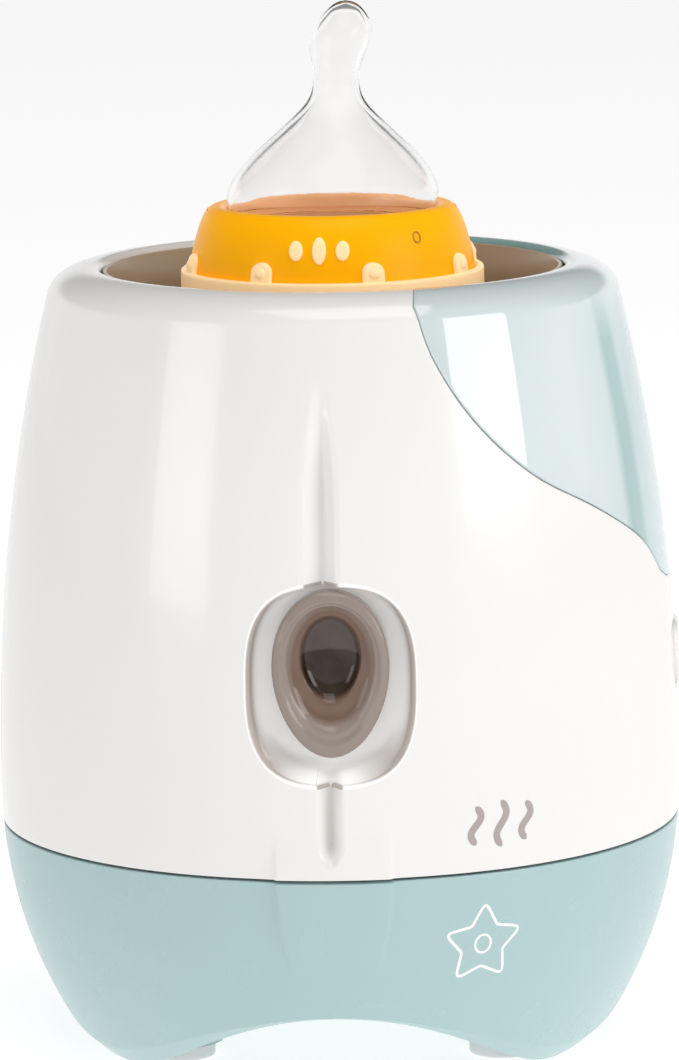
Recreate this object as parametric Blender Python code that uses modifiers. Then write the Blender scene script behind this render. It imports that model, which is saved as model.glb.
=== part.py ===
"""Bottle warmer: a tapered casing on a three-lobed base, with a water chamber, a heater under it,
a push button, a lift-off side cover, a lifting basket and the bottle that stands in it.

Every size below is in millimetres and becomes metres where a mesh is made. The front is -Y and the
origin is on the table, on the warmer's axis. Azimuths are in degrees from the front towards +X.
"""

import math

import bmesh
import bpy
from mathutils import Matrix, Vector

MM = 0.001
GAP = 0.3  # between pieces that touch
STEPS = 42  # facets round a large turned piece
MIDDLE_STEPS = 32  # facets round the bottle and its collar
SMALL_STEPS = 14  # facets round a pad or hole
SCREW_STEPS = 10

# Casing
BELLY_R, BELLY_Z = 70.2, 58.0
SHOULDER_DROP, SHOULDER_POWER, SHOULDER_SPAN = 11.7, 2.05, 98.0
FOOT_DROP, FOOT_POWER = 17.4, 2.31
WALL = 2.4
SEAM_Z = 46.0
SHOULDER_Z = 156.0
RIM_Z = 161.5
RIM_CREST_R = 49.5
MOUTH_R = 47.3

# Base
ARCH_H = 17.0
FLOOR_EDGE_Z = 0.6
PLATE_Z, PLATE_TOP_Z, PLATE_R = 22.0, 24.5, 61.2
LEG_R, LEG_AT = 8.5, 38.0
LEG_AZIMUTHS = (60.0, 180.0, 300.0)
BOSS_AT, BOSS_R = 54.0, 4.0
BOSS_AZIMUTHS = (0.0, 120.0, 240.0)
GLAND_Z = 34.5

# Side cover
COVER_TIP_Z = 96.0
COVER_MIDDLE = 90.0
COVER_EDGE_X = 17.0
COVER_EDGE = ((0, 0), (12, 2), (22, 11), (37, 20), (51, 28), (62, 39), (70, 53), (76, 72), (90, 78))
COVER_WALL = 2.2
RECESS_TOP_R, RECESS_TOP_Z = 52.5, 156.0

# Push button and what it works
POCKET_HALF_W, POCKET_HALF_H, POCKET_Z = 16.35, 19.5, 85.0
POCKET_FLOOR_Y, POCKET_BACK_Y = -62.0, -59.8
BUTTON_HALF_W, BUTTON_HALF_H, BUTTON_Z = 11.65, 16.65, 87.0
BUTTON_FRONT_Y, BUTTON_BACK_Y = -67.8, -63.4
STEM_R = 3.0
BOARD_FRONT_Y, BOARD_BACK_Y = -50.0, -48.4
BOARD_HALF_W, BOARD_LOW_Z, BOARD_TOP_Z = 19.0, 62.0, 110.0
POST_X, POST_ZS = 14.5, (68.0, 102.0)
LED_Z = 97.0

# Release button on the right side
RELEASE_Z, RELEASE_HALF_H, RELEASE_HALF_W, RELEASE_PROUD = 80.5, 6.4, 9.5, 1.2

# Chamber and heater
CHAMBER_R, CHAMBER_WALL = 45.0, 1.6
CHAMBER_TOP_Z = 155.7
CHAMBER_FLOOR_Z = 39.6
SEAT_TOP_Z = 41.2
PAN_R = 35.6
HEATER_SCREW_AT = 42.4
HEATER_SCREW_AZIMUTHS = (30.0, 150.0, 270.0)
NOTCH_AZIMUTH = 335.0

# Basket, bottle, collar and teat
BASKET_FLOOR_Z = 39.9
BASKET_IN_R, BASKET_OUT_R = 31.8, 34.2
BASKET_RING_R, BASKET_RING_Z = 37.4, 149.2
BOTTLE_R, BOTTLE_WALL, BOTTLE_LOW_Z = 30.5, 1.5, 42.2
NECK_R, MOUTH_Z = 23.7, 169.5
COLLAR_BORE_R, COLLAR_LOW_Z, COLLAR_TOP_Z = 24.4, 156.5, 173.4
COLLAR_LIP_R, COLLAR_LIP_Z = 21.6, 171.5
BAND_R, BAND_TOP_Z = 31.0, 160.6
TAB_COUNT, TAB_AZIMUTH, TAB_TOP_Z = 8, 15.0, 164.6
TEAT_OUTLINE = (
    (0.0, 216.0), (2.4, 215.4), (5.0, 212.0), (6.2, 208.4), (5.8, 203.9), (4.1, 198.8), (7.7, 193.5),
    (12.6, 187.6), (17.2, 183.2), (20.4, 178.9), (21.8, 175.6), (21.2, 173.8),
)
TEAT_WALL = 1.5
TEAT_FLANGE_R, TEAT_FLANGE_Z, TEAT_FLANGE_TOP_Z = 24.0, 169.8, 171.2

MATERIALS = {
    "white_gloss": ((0.87, 0.86, 0.85), 0.18, 0.0),
    "teal_satin": ((0.42, 0.59, 0.59), 0.35, 0.0),
    "aqua_clear": ((0.62, 0.80, 0.82), 0.08, 0.0),
    "taupe_clear": ((0.42, 0.36, 0.32), 0.12, 0.0),
    "taupe_liner": ((0.46, 0.38, 0.28), 0.3, 0.0),
    "basket_white": ((0.80, 0.79, 0.76), 0.35, 0.0),
    "bottle_clear": ((0.86, 0.88, 0.89), 0.08, 0.0),
    "orange": ((0.93, 0.40, 0.01), 0.28, 0.0),
    "orange_pale": ((1.0, 0.62, 0.27), 0.35, 0.0),
    "silicone": ((0.90, 0.90, 0.90), 0.15, 0.0),
    "rubber_grey": ((0.25, 0.25, 0.25), 0.8, 0.0),
    "aluminium": ((0.75, 0.75, 0.76), 0.35, 1.0),
    "steel": ((0.62, 0.62, 0.63), 0.3, 1.0),
    "board_green": ((0.03, 0.22, 0.10), 0.5, 0.0),
    "black_plastic": ((0.03, 0.03, 0.03), 0.4, 0.0),
    "ceramic": ((0.80, 0.76, 0.68), 0.6, 0.0),
    "led_white": ((0.95, 0.95, 0.90), 0.1, 0.0),
    "wire_red": ((0.55, 0.04, 0.03), 0.5, 0.0),
    "wire_blue": ((0.03, 0.10, 0.45), 0.5, 0.0),
    "wire_white": ((0.80, 0.80, 0.78), 0.5, 0.0),
}


# ---------------------------------------------------------------- scene, materials and placing

def clear_scene():
    for obj in list(bpy.data.objects):
        bpy.data.objects.remove(obj, do_unlink=True)


def new_collection(name):
    collection = bpy.data.collections.new(name)
    bpy.context.scene.collection.children.link(collection)
    return collection


clear_scene()
PARTS = new_collection("bottle_warmer")
CUTTERS = new_collection("cutters")


def material(name):
    found = bpy.data.materials.get(name)
    if found:
        return found
    colour, roughness, metallic = MATERIALS[name]
    made = bpy.data.materials.new(name)
    made.use_nodes = True
    shader = made.node_tree.nodes["Principled BSDF"]
    shader.inputs["Base Color"].default_value = (*colour, 1.0)
    shader.inputs["Roughness"].default_value = roughness
    shader.inputs["Metallic"].default_value = metallic
    return made


def part(obj, material_name, origin=None):
    """Files the object as a sub-part. An origin, in mm, puts a moving piece on its joint's axis."""
    if origin is not None:
        shift = Vector(origin) * MM
        obj.data.transform(Matrix.Translation(-shift))
        obj.location = shift
    obj.data.materials.append(material(material_name))
    PARTS.objects.link(obj)
    return obj


def helper(obj):
    """Files the object as a cutter or an operand of a Boolean, which isn't a sub-part."""
    CUTTERS.objects.link(obj)
    obj.hide_render = True
    obj.display_type = "WIRE"
    return obj


def around(azimuth, radius, z=0.0):
    """The point at this azimuth, radius and height, in mm."""
    turn = math.radians(azimuth)
    return Vector((radius * math.sin(turn), -radius * math.cos(turn), z))


# ---------------------------------------------------------------- shape makers (sizes in mm)

def new_object(name, bm):
    mesh = bpy.data.meshes.new(name)
    bm.to_mesh(mesh)
    bm.free()
    mesh.shade_smooth()
    mesh.set_sharp_from_angle(angle=math.radians(35))
    return bpy.data.objects.new(name, mesh)


def turned(name, profile, steps=STEPS):
    """A closed profile (radius, z) turned round Z. A profile that ends on the axis stays open there."""
    on_axis = profile[0][0] == 0 and profile[-1][0] == 0
    mesh = bpy.data.meshes.new(name)
    edges = [(i, i + 1) for i in range(len(profile) - 1)]
    if not on_axis:
        edges.append((len(profile) - 1, 0))
    mesh.from_pydata([(r * MM, 0.0, z * MM) for r, z in profile], edges, [])
    obj = bpy.data.objects.new(name, mesh)
    screw = obj.modifiers.new("Turn", "SCREW")
    screw.steps = screw.render_steps = steps
    screw.use_merge_vertices = on_axis
    screw.merge_threshold = 0.00001
    return obj


def box(name, low, high, azimuth=0.0):
    """A box between two corners, then turned to an azimuth round the warmer's axis."""
    low, high = Vector(low) * MM, Vector(high) * MM
    bm = bmesh.new()
    bmesh.ops.create_cube(bm, size=1.0)
    bmesh.ops.scale(bm, vec=high - low, verts=bm.verts)
    bmesh.ops.translate(bm, vec=(low + high) / 2, verts=bm.verts)
    bmesh.ops.rotate(bm, cent=(0, 0, 0), matrix=Matrix.Rotation(math.radians(azimuth), 3, "Z"), verts=bm.verts)
    return new_object(name, bm)


def cylinder(name, start, end, radius, steps=SMALL_STEPS, end_radius=None):
    start, end = Vector(start) * MM, Vector(end) * MM
    along = end - start
    bm = bmesh.new()
    bmesh.ops.create_cone(
        bm, cap_ends=True, segments=steps, radius1=radius * MM,
        radius2=(radius if end_radius is None else end_radius) * MM, depth=along.length,
    )
    bmesh.ops.rotate(bm, cent=(0, 0, 0), matrix=along.to_track_quat("Z", "Y").to_matrix(), verts=bm.verts)
    bmesh.ops.translate(bm, vec=(start + end) / 2, verts=bm.verts)
    return new_object(name, bm)


def ellipsoid(name, centre, half_axes, tilt=0.0):
    """An ellipsoid, tilted about X so that its top leans to +Y."""
    bm = bmesh.new()
    bmesh.ops.create_uvsphere(bm, u_segments=20, v_segments=14, radius=MM)
    bmesh.ops.scale(bm, vec=half_axes, verts=bm.verts)
    bmesh.ops.rotate(bm, cent=(0, 0, 0), matrix=Matrix.Rotation(math.radians(-tilt), 3, "X"), verts=bm.verts)
    bmesh.ops.translate(bm, vec=Vector(centre) * MM, verts=bm.verts)
    return new_object(name, bm)


def front_outline(name, outline, near_y, far_y):
    """An outline (x, z) seen from the front, as a solid between two distances along Y."""
    curve = bpy.data.curves.new(name, "CURVE")
    curve.dimensions = "2D"
    curve.fill_mode = "BOTH"
    curve.extrude = abs(far_y - near_y) / 2 * MM
    spline = curve.splines.new("POLY")
    spline.points.add(len(outline) - 1)
    for point, (x, z) in zip(spline.points, outline):
        point.co = (x * MM, z * MM, 0.0, 1.0)
    spline.use_cyclic_u = True
    flat = bpy.data.objects.new(name + "_outline", curve)
    bpy.context.scene.collection.objects.link(flat)
    flat.matrix_world = (
        Matrix.Translation((0.0, (near_y + far_y) / 2 * MM, 0.0)) @ Matrix.Rotation(math.radians(90), 4, "X")
    )
    return solid_from(flat, name)


def solid_from(obj, name):
    """The object's evaluated shape as a plain closed mesh, in place of the object."""
    bpy.context.view_layer.update()
    graph = bpy.context.evaluated_depsgraph_get()
    mesh = bpy.data.meshes.new_from_object(obj.evaluated_get(graph))
    mesh.transform(obj.matrix_world)
    bm = bmesh.new()
    bm.from_mesh(mesh)
    bmesh.ops.remove_doubles(bm, verts=bm.verts, dist=0.000005)
    bmesh.ops.triangulate(bm, faces=bm.faces)
    bpy.data.objects.remove(obj, do_unlink=True)
    bpy.data.meshes.remove(mesh)
    return new_object(name, bm)


def wire(name, points, radius, material_name, smooth=6):
    """A round wire through these points, in mm."""
    path = smooth_path(points, smooth) if smooth else points
    curve = bpy.data.curves.new(name, "CURVE")
    curve.dimensions = "3D"
    curve.bevel_depth = radius * MM
    curve.bevel_resolution = 2
    curve.use_fill_caps = True
    spline = curve.splines.new("POLY")
    spline.points.add(len(path) - 1)
    for point, place in zip(spline.points, path):
        point.co = (*(Vector(place) * MM), 1.0)
    return part(bpy.data.objects.new(name, curve), material_name)


def smooth_path(points, per_span):
    """Points on a Catmull-Rom curve through the given ones."""
    ends = [Vector(points[0])] + [Vector(p) for p in points] + [Vector(points[-1])]
    path = []
    for i in range(1, len(ends) - 2):
        before, start, end, after = ends[i - 1:i + 3]
        for step in range(per_span):
            t = step / per_span
            path.append(0.5 * (
                2 * start + (end - before) * t
                + (2 * before - 5 * start + 4 * end - after) * t ** 2
                + (3 * start - before - 3 * end + after) * t ** 3
            ))
    return path + [ends[-1]]


def coil(start, end, radius, turns, per_turn=8):
    """Points of a helix about the line from start to end."""
    start, end = Vector(start), Vector(end)
    along = end - start
    side = along.orthogonal().normalized()
    other = along.normalized().cross(side)
    count = turns * per_turn
    return [
        start + along * (i / count)
        + radius * (side * math.cos(math.tau * i / per_turn) + other * math.sin(math.tau * i / per_turn))
        for i in range(count + 1)
    ]


def combine(obj, operation, *others, solver="EXACT"):
    """Adds one Boolean modifier for each of the other objects."""
    for other in others:
        modifier = obj.modifiers.new(operation.title(), "BOOLEAN")
        modifier.operation = operation
        modifier.solver = solver
        modifier.object = other
    return obj


def grouped(name, objects):
    """Separate solids as one operand."""
    bm = bmesh.new()
    for obj in objects:
        bm.from_mesh(obj.data)
        bpy.data.objects.remove(obj, do_unlink=True)
    return new_object(name, bm)


# ---------------------------------------------------------------- the casing's own curves

def casing_r(z):
    """The casing's outer radius at this height, below the shoulder."""
    if z > BELLY_Z:
        return BELLY_R - SHOULDER_DROP * ((z - BELLY_Z) / SHOULDER_SPAN) ** SHOULDER_POWER
    return BELLY_R - FOOT_DROP * ((BELLY_Z - z) / BELLY_Z) ** FOOT_POWER


def wall_points(high, low, count, inset=0.0):
    """Points down the casing's wall, this far inside its outer face."""
    levels = [high + (low - high) * i / (count - 1) for i in range(count)]
    return [(casing_r(z) - inset, z) for z in levels]


def rim_points(count=4):
    """The rim's rounded land, from its crest out and down to the shoulder."""
    points = []
    for i in range(count):
        turn = math.radians(90 - 90 * i / count)
        points.append((
            RIM_CREST_R + (casing_r(SHOULDER_Z) - RIM_CREST_R) * math.cos(turn),
            SHOULDER_Z + (RIM_Z - SHOULDER_Z) * math.sin(turn),
        ))
    return points


def mouth_edge(count=2):
    """The rounded edge from the mouth's wall up to the crest."""
    drop, width = 1.8, RIM_CREST_R - MOUTH_R
    return [
        (RIM_CREST_R - width * math.cos(math.radians(90 * i / count)),
         RIM_Z - drop + drop * math.sin(math.radians(90 * i / count)))
        for i in range(count)
    ]


def lobe_lift(point):
    """Raises the base's lower edge into three arches between its feet, along the casing's curve."""
    z = point.z / MM
    if z >= PLATE_Z:
        return
    azimuth = math.atan2(point.x, -point.y)
    lifted = z + ARCH_H * (0.5 + 0.5 * math.cos(3 * azimuth)) * (1 - z / PLATE_Z)
    radius = math.hypot(point.x, point.y) / MM
    scale = (radius - casing_r(z) + casing_r(lifted)) / radius
    point.x *= scale
    point.y *= scale
    point.z = lifted * MM


def cover_edge_z(from_middle):
    """The height of the side cover's lower edge, this many degrees from its middle."""
    spots = smooth_path([(u, h, 0.0) for u, h in COVER_EDGE], 8)
    for low, high in zip(spots, spots[1:]):
        if low.x <= from_middle <= high.x:
            share = (from_middle - low.x) / max(high.x - low.x, 1e-9)
            return COVER_TIP_Z + low.y + share * (high.y - low.y)
    return COVER_TIP_Z + COVER_EDGE[-1][1]


def cover_zone(name, stretch, shift, edge_x):
    """The space that the side cover takes: a ring whose lower edge follows the cover's, cut off at edge_x."""
    top_z, in_r, out_r = 180.0, 38.0, 84.0
    ring = turned(name + "_ring", [(out_r, top_z), (out_r, 0.0), (in_r, 0.0), (in_r, top_z)], steps=96)
    bpy.context.scene.collection.objects.link(ring)
    zone = solid_from(ring, name)
    for vertex in zone.data.vertices:
        if vertex.co.z > 0.5 * top_z * MM:
            continue
        azimuth = math.degrees(math.atan2(vertex.co.x, -vertex.co.y))
        from_middle = abs((azimuth - COVER_MIDDLE + 180) % 360 - 180)
        vertex.co.z = (cover_edge_z(min(from_middle * stretch, 90.0)) + shift) * MM
    side = helper(box(name + "_side", (edge_x, -90, 60), (90, 90, 170)))
    return combine(helper(zone), "INTERSECT", side)


# ---------------------------------------------------------------- base

def base_shell():
    outer = wall_points(SEAM_Z - GAP, 4.0, 8)
    lip = [(52.6, 1.7), (50.8, FLOOR_EDGE_Z), (48.6, FLOOR_EDGE_Z), (48.6, 2.8), (50.9, 3.3)]
    inner = wall_points(7.0, PLATE_Z, 3, inset=WALL)
    ledge = [(62.6, 24.8), (59.2, 24.8), (59.2, 26.8), (63.4, 26.8)]
    upper = wall_points(33.0, 40.5, 2, inset=WALL)
    tongue = [(62.6, 43.5), (62.6, 49.0), (66.7, 49.0), (66.7, SEAM_Z - GAP)]
    shell = turned("base_shell", outer + lip + inner + ledge + upper + tongue)
    bpy.context.scene.collection.objects.link(shell)
    shell = solid_from(shell, "base_shell")
    for vertex in shell.data.vertices:
        lobe_lift(vertex.co)
    hole = helper(cylinder("gland_hole", (0, 50, GLAND_Z), (0, 80, GLAND_Z), 5.0))
    return combine(part(shell, "teal_satin"), "DIFFERENCE", hole)


def bottom_plate():
    plate = part(cylinder("bottom_plate", (0, 0, PLATE_Z), (0, 0, PLATE_TOP_Z), PLATE_R, STEPS), "teal_satin")
    for azimuth in LEG_AZIMUTHS:
        at = around(azimuth, LEG_AT)
        leg = cylinder("leg", at + Vector((0, 0, 3.3)), at + Vector((0, 0, 23.0)), LEG_R)
        socket = cylinder("leg_socket", at, at + Vector((0, 0, 6.3)), 2.7)
        combine(plate, "UNION", helper(leg))
        combine(plate, "DIFFERENCE", helper(socket))
    for azimuth in BOSS_AZIMUTHS:
        hole = cylinder("plate_hole", around(azimuth, BOSS_AT, 20), around(azimuth, BOSS_AT, 26), 1.8)
        combine(plate, "DIFFERENCE", helper(hole))


def foot_pads():
    for number, azimuth in enumerate(LEG_AZIMUTHS, 1):
        profile = [(0, 6.0), (2.4, 6.0), (2.4, 3.0), (6.8, 3.0), (6.8, 0.6), (6.2, 0.0), (0, 0.0)]
        pad = part(turned(f"foot_pad_{number}", profile, SMALL_STEPS), "rubber_grey")
        pad.location = around(azimuth, LEG_AT) * MM


def screw_profile(head_r, head_h, shank_r, shank_l):
    """A pan-head screw standing on its head, with the shank's end up."""
    return [
        (0, head_h + shank_l), (shank_r, head_h + shank_l - 0.6), (shank_r, head_h), (head_r, head_h),
        (head_r, head_h * 0.45), (head_r * 0.7, 0), (0, 0),
    ]


def base_screws():
    for number, azimuth in enumerate(BOSS_AZIMUTHS, 1):
        screw = part(turned(f"base_screw_{number}", screw_profile(3.2, 1.7, 1.4, 13.5), SCREW_STEPS), "steel")
        screw.location = around(azimuth, BOSS_AT, PLATE_Z - GAP - 1.7) * MM


def cable_gland():
    profile = [(4.2, 9.8), (4.6, 9.3), (4.6, 2.0), (6.2, 2.0), (6.2, 0.0), (2.7, 0.0), (2.7, 9.8)]
    gland = part(turned("cable_gland", profile, SMALL_STEPS), "rubber_grey")
    gland.rotation_euler.x = math.radians(-90)
    gland.location = Vector((0, 59.8, GLAND_Z)) * MM


# ---------------------------------------------------------------- housing and side cover

def recess_points():
    """The wall behind the side cover: flush at the cover's tip, well back at the top."""
    low_z = COVER_TIP_Z - 2
    low_r = casing_r(low_z) - COVER_WALL - 0.6
    middle_z = 0.5 * (low_z + RECESS_TOP_Z)
    return [(RECESS_TOP_R, RECESS_TOP_Z), (0.5 * (low_r + RECESS_TOP_R) + 1.2, middle_z), (low_r, low_z)]


def recess_wall():
    behind = [(r - COVER_WALL, z) for r, z in reversed(recess_points()[1:])]
    land = [(RECESS_TOP_R - COVER_WALL, RECESS_TOP_Z - COVER_WALL), (MOUTH_R + 0.4, RECESS_TOP_Z - COVER_WALL)]
    outer = wall_points(SHOULDER_Z, COVER_TIP_Z - 10, 6, inset=0.8)
    wall = turned("recess_wall", outer + behind + land + [(MOUTH_R + 0.4, SHOULDER_Z)])
    return combine(wall, "INTERSECT", cover_zone("cover_zone_wide", 0.955, -2.6, COVER_EDGE_X - 2.4))


def recess_cut():
    inner = list(reversed(recess_points()))
    outline = [(82, 170), (82, COVER_TIP_Z - 2)] + inner + [(45.6, RECESS_TOP_Z), (45.6, 170)]
    return combine(turned("recess_cut", outline), "INTERSECT", cover_zone("cover_zone", 1.0, 0.0, COVER_EDGE_X))


def superellipse(half_w, half_h, middle_z, power=2.8, count=36):
    points = []
    for i in range(count):
        turn = math.tau * i / count
        c, s = math.cos(turn), math.sin(turn)
        points.append((
            half_w * math.copysign(abs(c) ** (2 / power), c),
            middle_z + half_h * math.copysign(abs(s) ** (2 / power), s),
        ))
    return points


def egg(half_w, half_h, middle_z, count=32):
    """An upright egg, wider above its middle."""
    return [
        (half_w * math.cos(t) * (1 + 0.10 * math.sin(t)) / 1.01, middle_z + half_h * math.sin(t))
        for t in (math.tau * i / count for i in range(count))
    ]


def housing_added(core):
    """What stands inside the housing's wall: the button's pocket, the release cage, bosses and posts."""
    pocket_block = box("pocket_block", (-18.6, -82, 63.3), (18.6, POCKET_BACK_Y, 106.7))
    release_cage = box("release_cage", (55, -13, 70.4), (82, 13, 90.6))
    added = [combine(solid, "INTERSECT", core) for solid in (pocket_block, release_cage)]
    for azimuth in BOSS_AZIMUTHS:
        added.append(box("boss_rib", (-1.1, -68.9, 50.4), (1.1, -BOSS_AT, 59.7), azimuth))
        added.append(cylinder("boss", around(azimuth, BOSS_AT, 24.8), around(azimuth, BOSS_AT, 60), BOSS_R))
    posts = [
        cylinder("post", (x, POCKET_BACK_Y - 0.5, z), (x, BOARD_FRONT_Y - GAP, z), 2.6)
        for x in (-POST_X, POST_X) for z in POST_ZS
    ]
    return [helper(solid) for solid in (recess_wall(), *added, grouped("posts", posts))]


def housing_removed():
    """What is cut from the housing: pocket, grooves, button holes and screw holes."""
    holes = [cylinder("boss_hole", around(a, BOSS_AT, 20), around(a, BOSS_AT, 37), 1.7, 12) for a in BOSS_AZIMUTHS]
    holes += [cylinder("post_hole", (x, -56.5, z), (x, -49, z), 1.5, 12) for x in (-POST_X, POST_X) for z in POST_ZS]
    holes += [
        cylinder("stem_hole", (0, -70, BUTTON_Z), (0, -55, BUTTON_Z), STEM_R + 0.4),
        cylinder("led_window", (0, -70, LED_Z), (0, -55, LED_Z), 1.8),
    ]
    cuts = [
        front_outline("pocket", superellipse(POCKET_HALF_W, POCKET_HALF_H, POCKET_Z), -90, POCKET_FLOOR_Y),
        ellipsoid("upper_groove", (0, -casing_r(112) - 1.0, 112), (4.6, 2.3, 31), tilt=8.0),
        ellipsoid("lower_groove", (0, -casing_r(60) - 0.9, 60), (3.0, 1.9, 11)),
        box("release_room", (57, -11.3, 72.3), (65.8, 11.3, 88.7)),
        box("release_slot", (60, -RELEASE_HALF_W - 0.4, RELEASE_Z - RELEASE_HALF_H - 0.4),
            (82, RELEASE_HALF_W + 0.4, RELEASE_Z + RELEASE_HALF_H + 0.4)),
        grouped("holes", holes),
        recess_cut(),
    ]
    return [helper(cut) for cut in cuts]


def housing():
    outer = rim_points() + wall_points(SHOULDER_Z, SEAM_Z + GAP, 10)
    inner = wall_points(SEAM_Z + GAP, 152.0, 6, inset=WALL)
    throat = [(52.0, 158.3), (49.4, 157.4), (49.4, 149.0), (MOUTH_R, 149.0)]
    shell = part(turned("housing", outer + inner + throat + mouth_edge()), "white_gloss")
    core = helper(turned("core", [(0, 160), *wall_points(SHOULDER_Z, SEAM_Z, 12, inset=1.0), (0, 40)]))
    # Exact Booleans leave holes where the recess meets the wall's facets at a shallow angle.
    combine(shell, "UNION", *housing_added(core), solver="MANIFOLD")
    combine(shell, "DIFFERENCE", *housing_removed(), solver="MANIFOLD")


def side_cover():
    outer = rim_points() + wall_points(SHOULDER_Z, COVER_TIP_Z - 3, 7)
    inner = wall_points(COVER_TIP_Z - 3, 153.0, 5, inset=COVER_WALL)
    lip = [(54.0, 157.6), (MOUTH_R + COVER_WALL, 159.0), (MOUTH_R + COVER_WALL, 156.3), (MOUTH_R, 156.3)]
    cover = part(turned("side_cover", outer + inner + lip + mouth_edge()), "aqua_clear")
    combine(cover, "INTERSECT", cover_zone("cover_zone_tight", 1.01, 0.35, COVER_EDGE_X + 0.35))


def release_button():
    at_x = 63.0
    button = box("release_button", (at_x, -10.9, 72.7), (at_x + 2.4, 10.9, 88.3))
    part(button, "white_gloss", origin=(at_x, 0, RELEASE_Z))
    cap = helper(box(
        "release_cap", (at_x + 1, -RELEASE_HALF_W, RELEASE_Z - RELEASE_HALF_H),
        (82, RELEASE_HALF_W, RELEASE_Z + RELEASE_HALF_H),
    ))
    face = [(r + RELEASE_PROUD, z) for r, z in wall_points(95, 66, 7)]
    combine(cap, "INTERSECT", helper(turned("release_face", [(0, 96), *face, (0, 65)], steps=96)))
    combine(button, "UNION", cap)
    points = coil((57.7, 0, RELEASE_Z), (at_x - 0.8, 0, RELEASE_Z), 4.0, 4)
    wire("release_spring", points, 0.4, "steel", smooth=0)


# ---------------------------------------------------------------- push button and control board

def power_button():
    cap = front_outline("power_button", egg(BUTTON_HALF_W, BUTTON_HALF_H, BUTTON_Z), BUTTON_FRONT_Y, BUTTON_BACK_Y)
    part(cap, "taupe_clear", origin=(0, BUTTON_FRONT_Y, BUTTON_Z))
    dish = ellipsoid("dish", (0, BUTTON_FRONT_Y - 1.4, BUTTON_Z), (9.4, 4.0, 14.0))
    stem = cylinder("stem", (0, BUTTON_BACK_Y - 0.8, BUTTON_Z), (0, -55.5, BUTTON_Z), STEM_R)
    stop = cylinder("stem_stop", (0, -59.3, BUTTON_Z), (0, -57.9, BUTTON_Z), 6.0)
    combine(cap, "DIFFERENCE", helper(dish))
    combine(cap, "UNION", helper(stem), helper(stop))
    points = coil((0, -57.2, BUTTON_Z), (0, BOARD_FRONT_Y - 0.75, BUTTON_Z), 5.0, 4)
    wire("button_spring", points, 0.35, "steel", smooth=0)


def control_board():
    board = part(box(
        "control_board", (-BOARD_HALF_W, BOARD_FRONT_Y, BOARD_LOW_Z), (BOARD_HALF_W, BOARD_BACK_Y, BOARD_TOP_Z),
    ), "board_green")
    number = 0
    for x in (-POST_X, POST_X):
        for z in POST_ZS:
            number += 1
            combine(board, "DIFFERENCE", helper(cylinder("board_hole", (x, -52, z), (x, -46, z), 1.6, 12)))
            screw = part(turned(f"board_screw_{number}", screw_profile(2.4, 1.4, 1.2, 7.0), SCREW_STEPS), "steel")
            screw.rotation_euler.x = math.radians(90)
            screw.location = Vector((x, BOARD_BACK_Y + GAP + 1.4, z)) * MM


def on_the_board():
    front = BOARD_FRONT_Y - GAP
    switch = part(box("tact_switch", (-3, front - 3.3, BUTTON_Z - 3), (3, front, BUTTON_Z + 3)), "black_plastic")
    plunger = cylinder("plunger", (0, front - 2, BUTTON_Z), (0, -54.1, BUTTON_Z), 1.6, 12)
    combine(switch, "UNION", helper(plunger))
    part(box("relay", (-3.2, -58.8, 64), (11.2, front, 77)), "black_plastic")
    part(cylinder("buzzer", (7, front - 5.5, 103.6), (7, front, 103.6), 4.2), "black_plastic")
    part(cylinder("indicator_led", (0, front - 5.0, LED_Z), (0, front, LED_Z), 1.6, 16), "led_white")


# ---------------------------------------------------------------- chamber and heater

def chamber_liner():
    out_r = CHAMBER_R + CHAMBER_WALL
    low_z = SEAT_TOP_Z + GAP
    part(turned("chamber_liner", [
        (out_r, CHAMBER_TOP_Z), (out_r, low_z), (CHAMBER_R, low_z), (CHAMBER_R, CHAMBER_TOP_Z),
    ]), "taupe_liner")


def chamber_seat():
    """The moulded seat under the liner, with the ledge that the heater plate is screwed and sealed against."""
    out_r = CHAMBER_R + CHAMBER_WALL
    seat = part(turned("chamber_seat", [
        (out_r, SEAT_TOP_Z), (out_r, 24.9), (CHAMBER_R, 24.9), (CHAMBER_R, 38.0), (PAN_R + 0.4, 38.0),
        (PAN_R + 0.4, CHAMBER_FLOOR_Z), (CHAMBER_R - 1, CHAMBER_FLOOR_Z), (CHAMBER_R, CHAMBER_FLOOR_Z + 1),
        (CHAMBER_R, SEAT_TOP_Z),
    ]), "taupe_liner")
    for azimuth in HEATER_SCREW_AZIMUTHS:
        low, high = around(azimuth, HEATER_SCREW_AT, 35.5), around(azimuth, HEATER_SCREW_AT, 38.5)
        combine(seat, "UNION", helper(cylinder("seat_boss", low, high, 2.2, 16)))
        top = around(azimuth, HEATER_SCREW_AT, 38.9)
        combine(seat, "DIFFERENCE", helper(cylinder("seat_hole", low - Vector((0, 0, 2)), top, 1.4, 12)))
    notch = box("wire_notch", (-5, -50, 20), (5, -40, 31.5), NOTCH_AZIMUTH)
    combine(seat, "DIFFERENCE", helper(notch))


def heater_plate():
    plate = part(turned("heater_plate", [
        (0, 39.3), (PAN_R - 0.6, 39.3), (PAN_R, 38.7), (PAN_R, 35.2), (44.3, 35.2), (44.3, 33.6), (0, 33.6),
    ]), "aluminium")
    for number, azimuth in enumerate(HEATER_SCREW_AZIMUTHS, 1):
        low, high = around(azimuth, HEATER_SCREW_AT, 30), around(azimuth, HEATER_SCREW_AT, 37)
        combine(plate, "DIFFERENCE", helper(cylinder("heater_hole", low, high, 1.5, 12)))
        screw = part(turned(f"heater_screw_{number}", screw_profile(2.0, 1.5, 1.1, 5.3), SCREW_STEPS), "steel")
        screw.location = around(azimuth, HEATER_SCREW_AT, 31.8) * MM
    part(turned("plate_seal", [(40.0, 37.7), (40.0, 35.5), (36.2, 35.5), (36.2, 37.7)]), "silicone")


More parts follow.
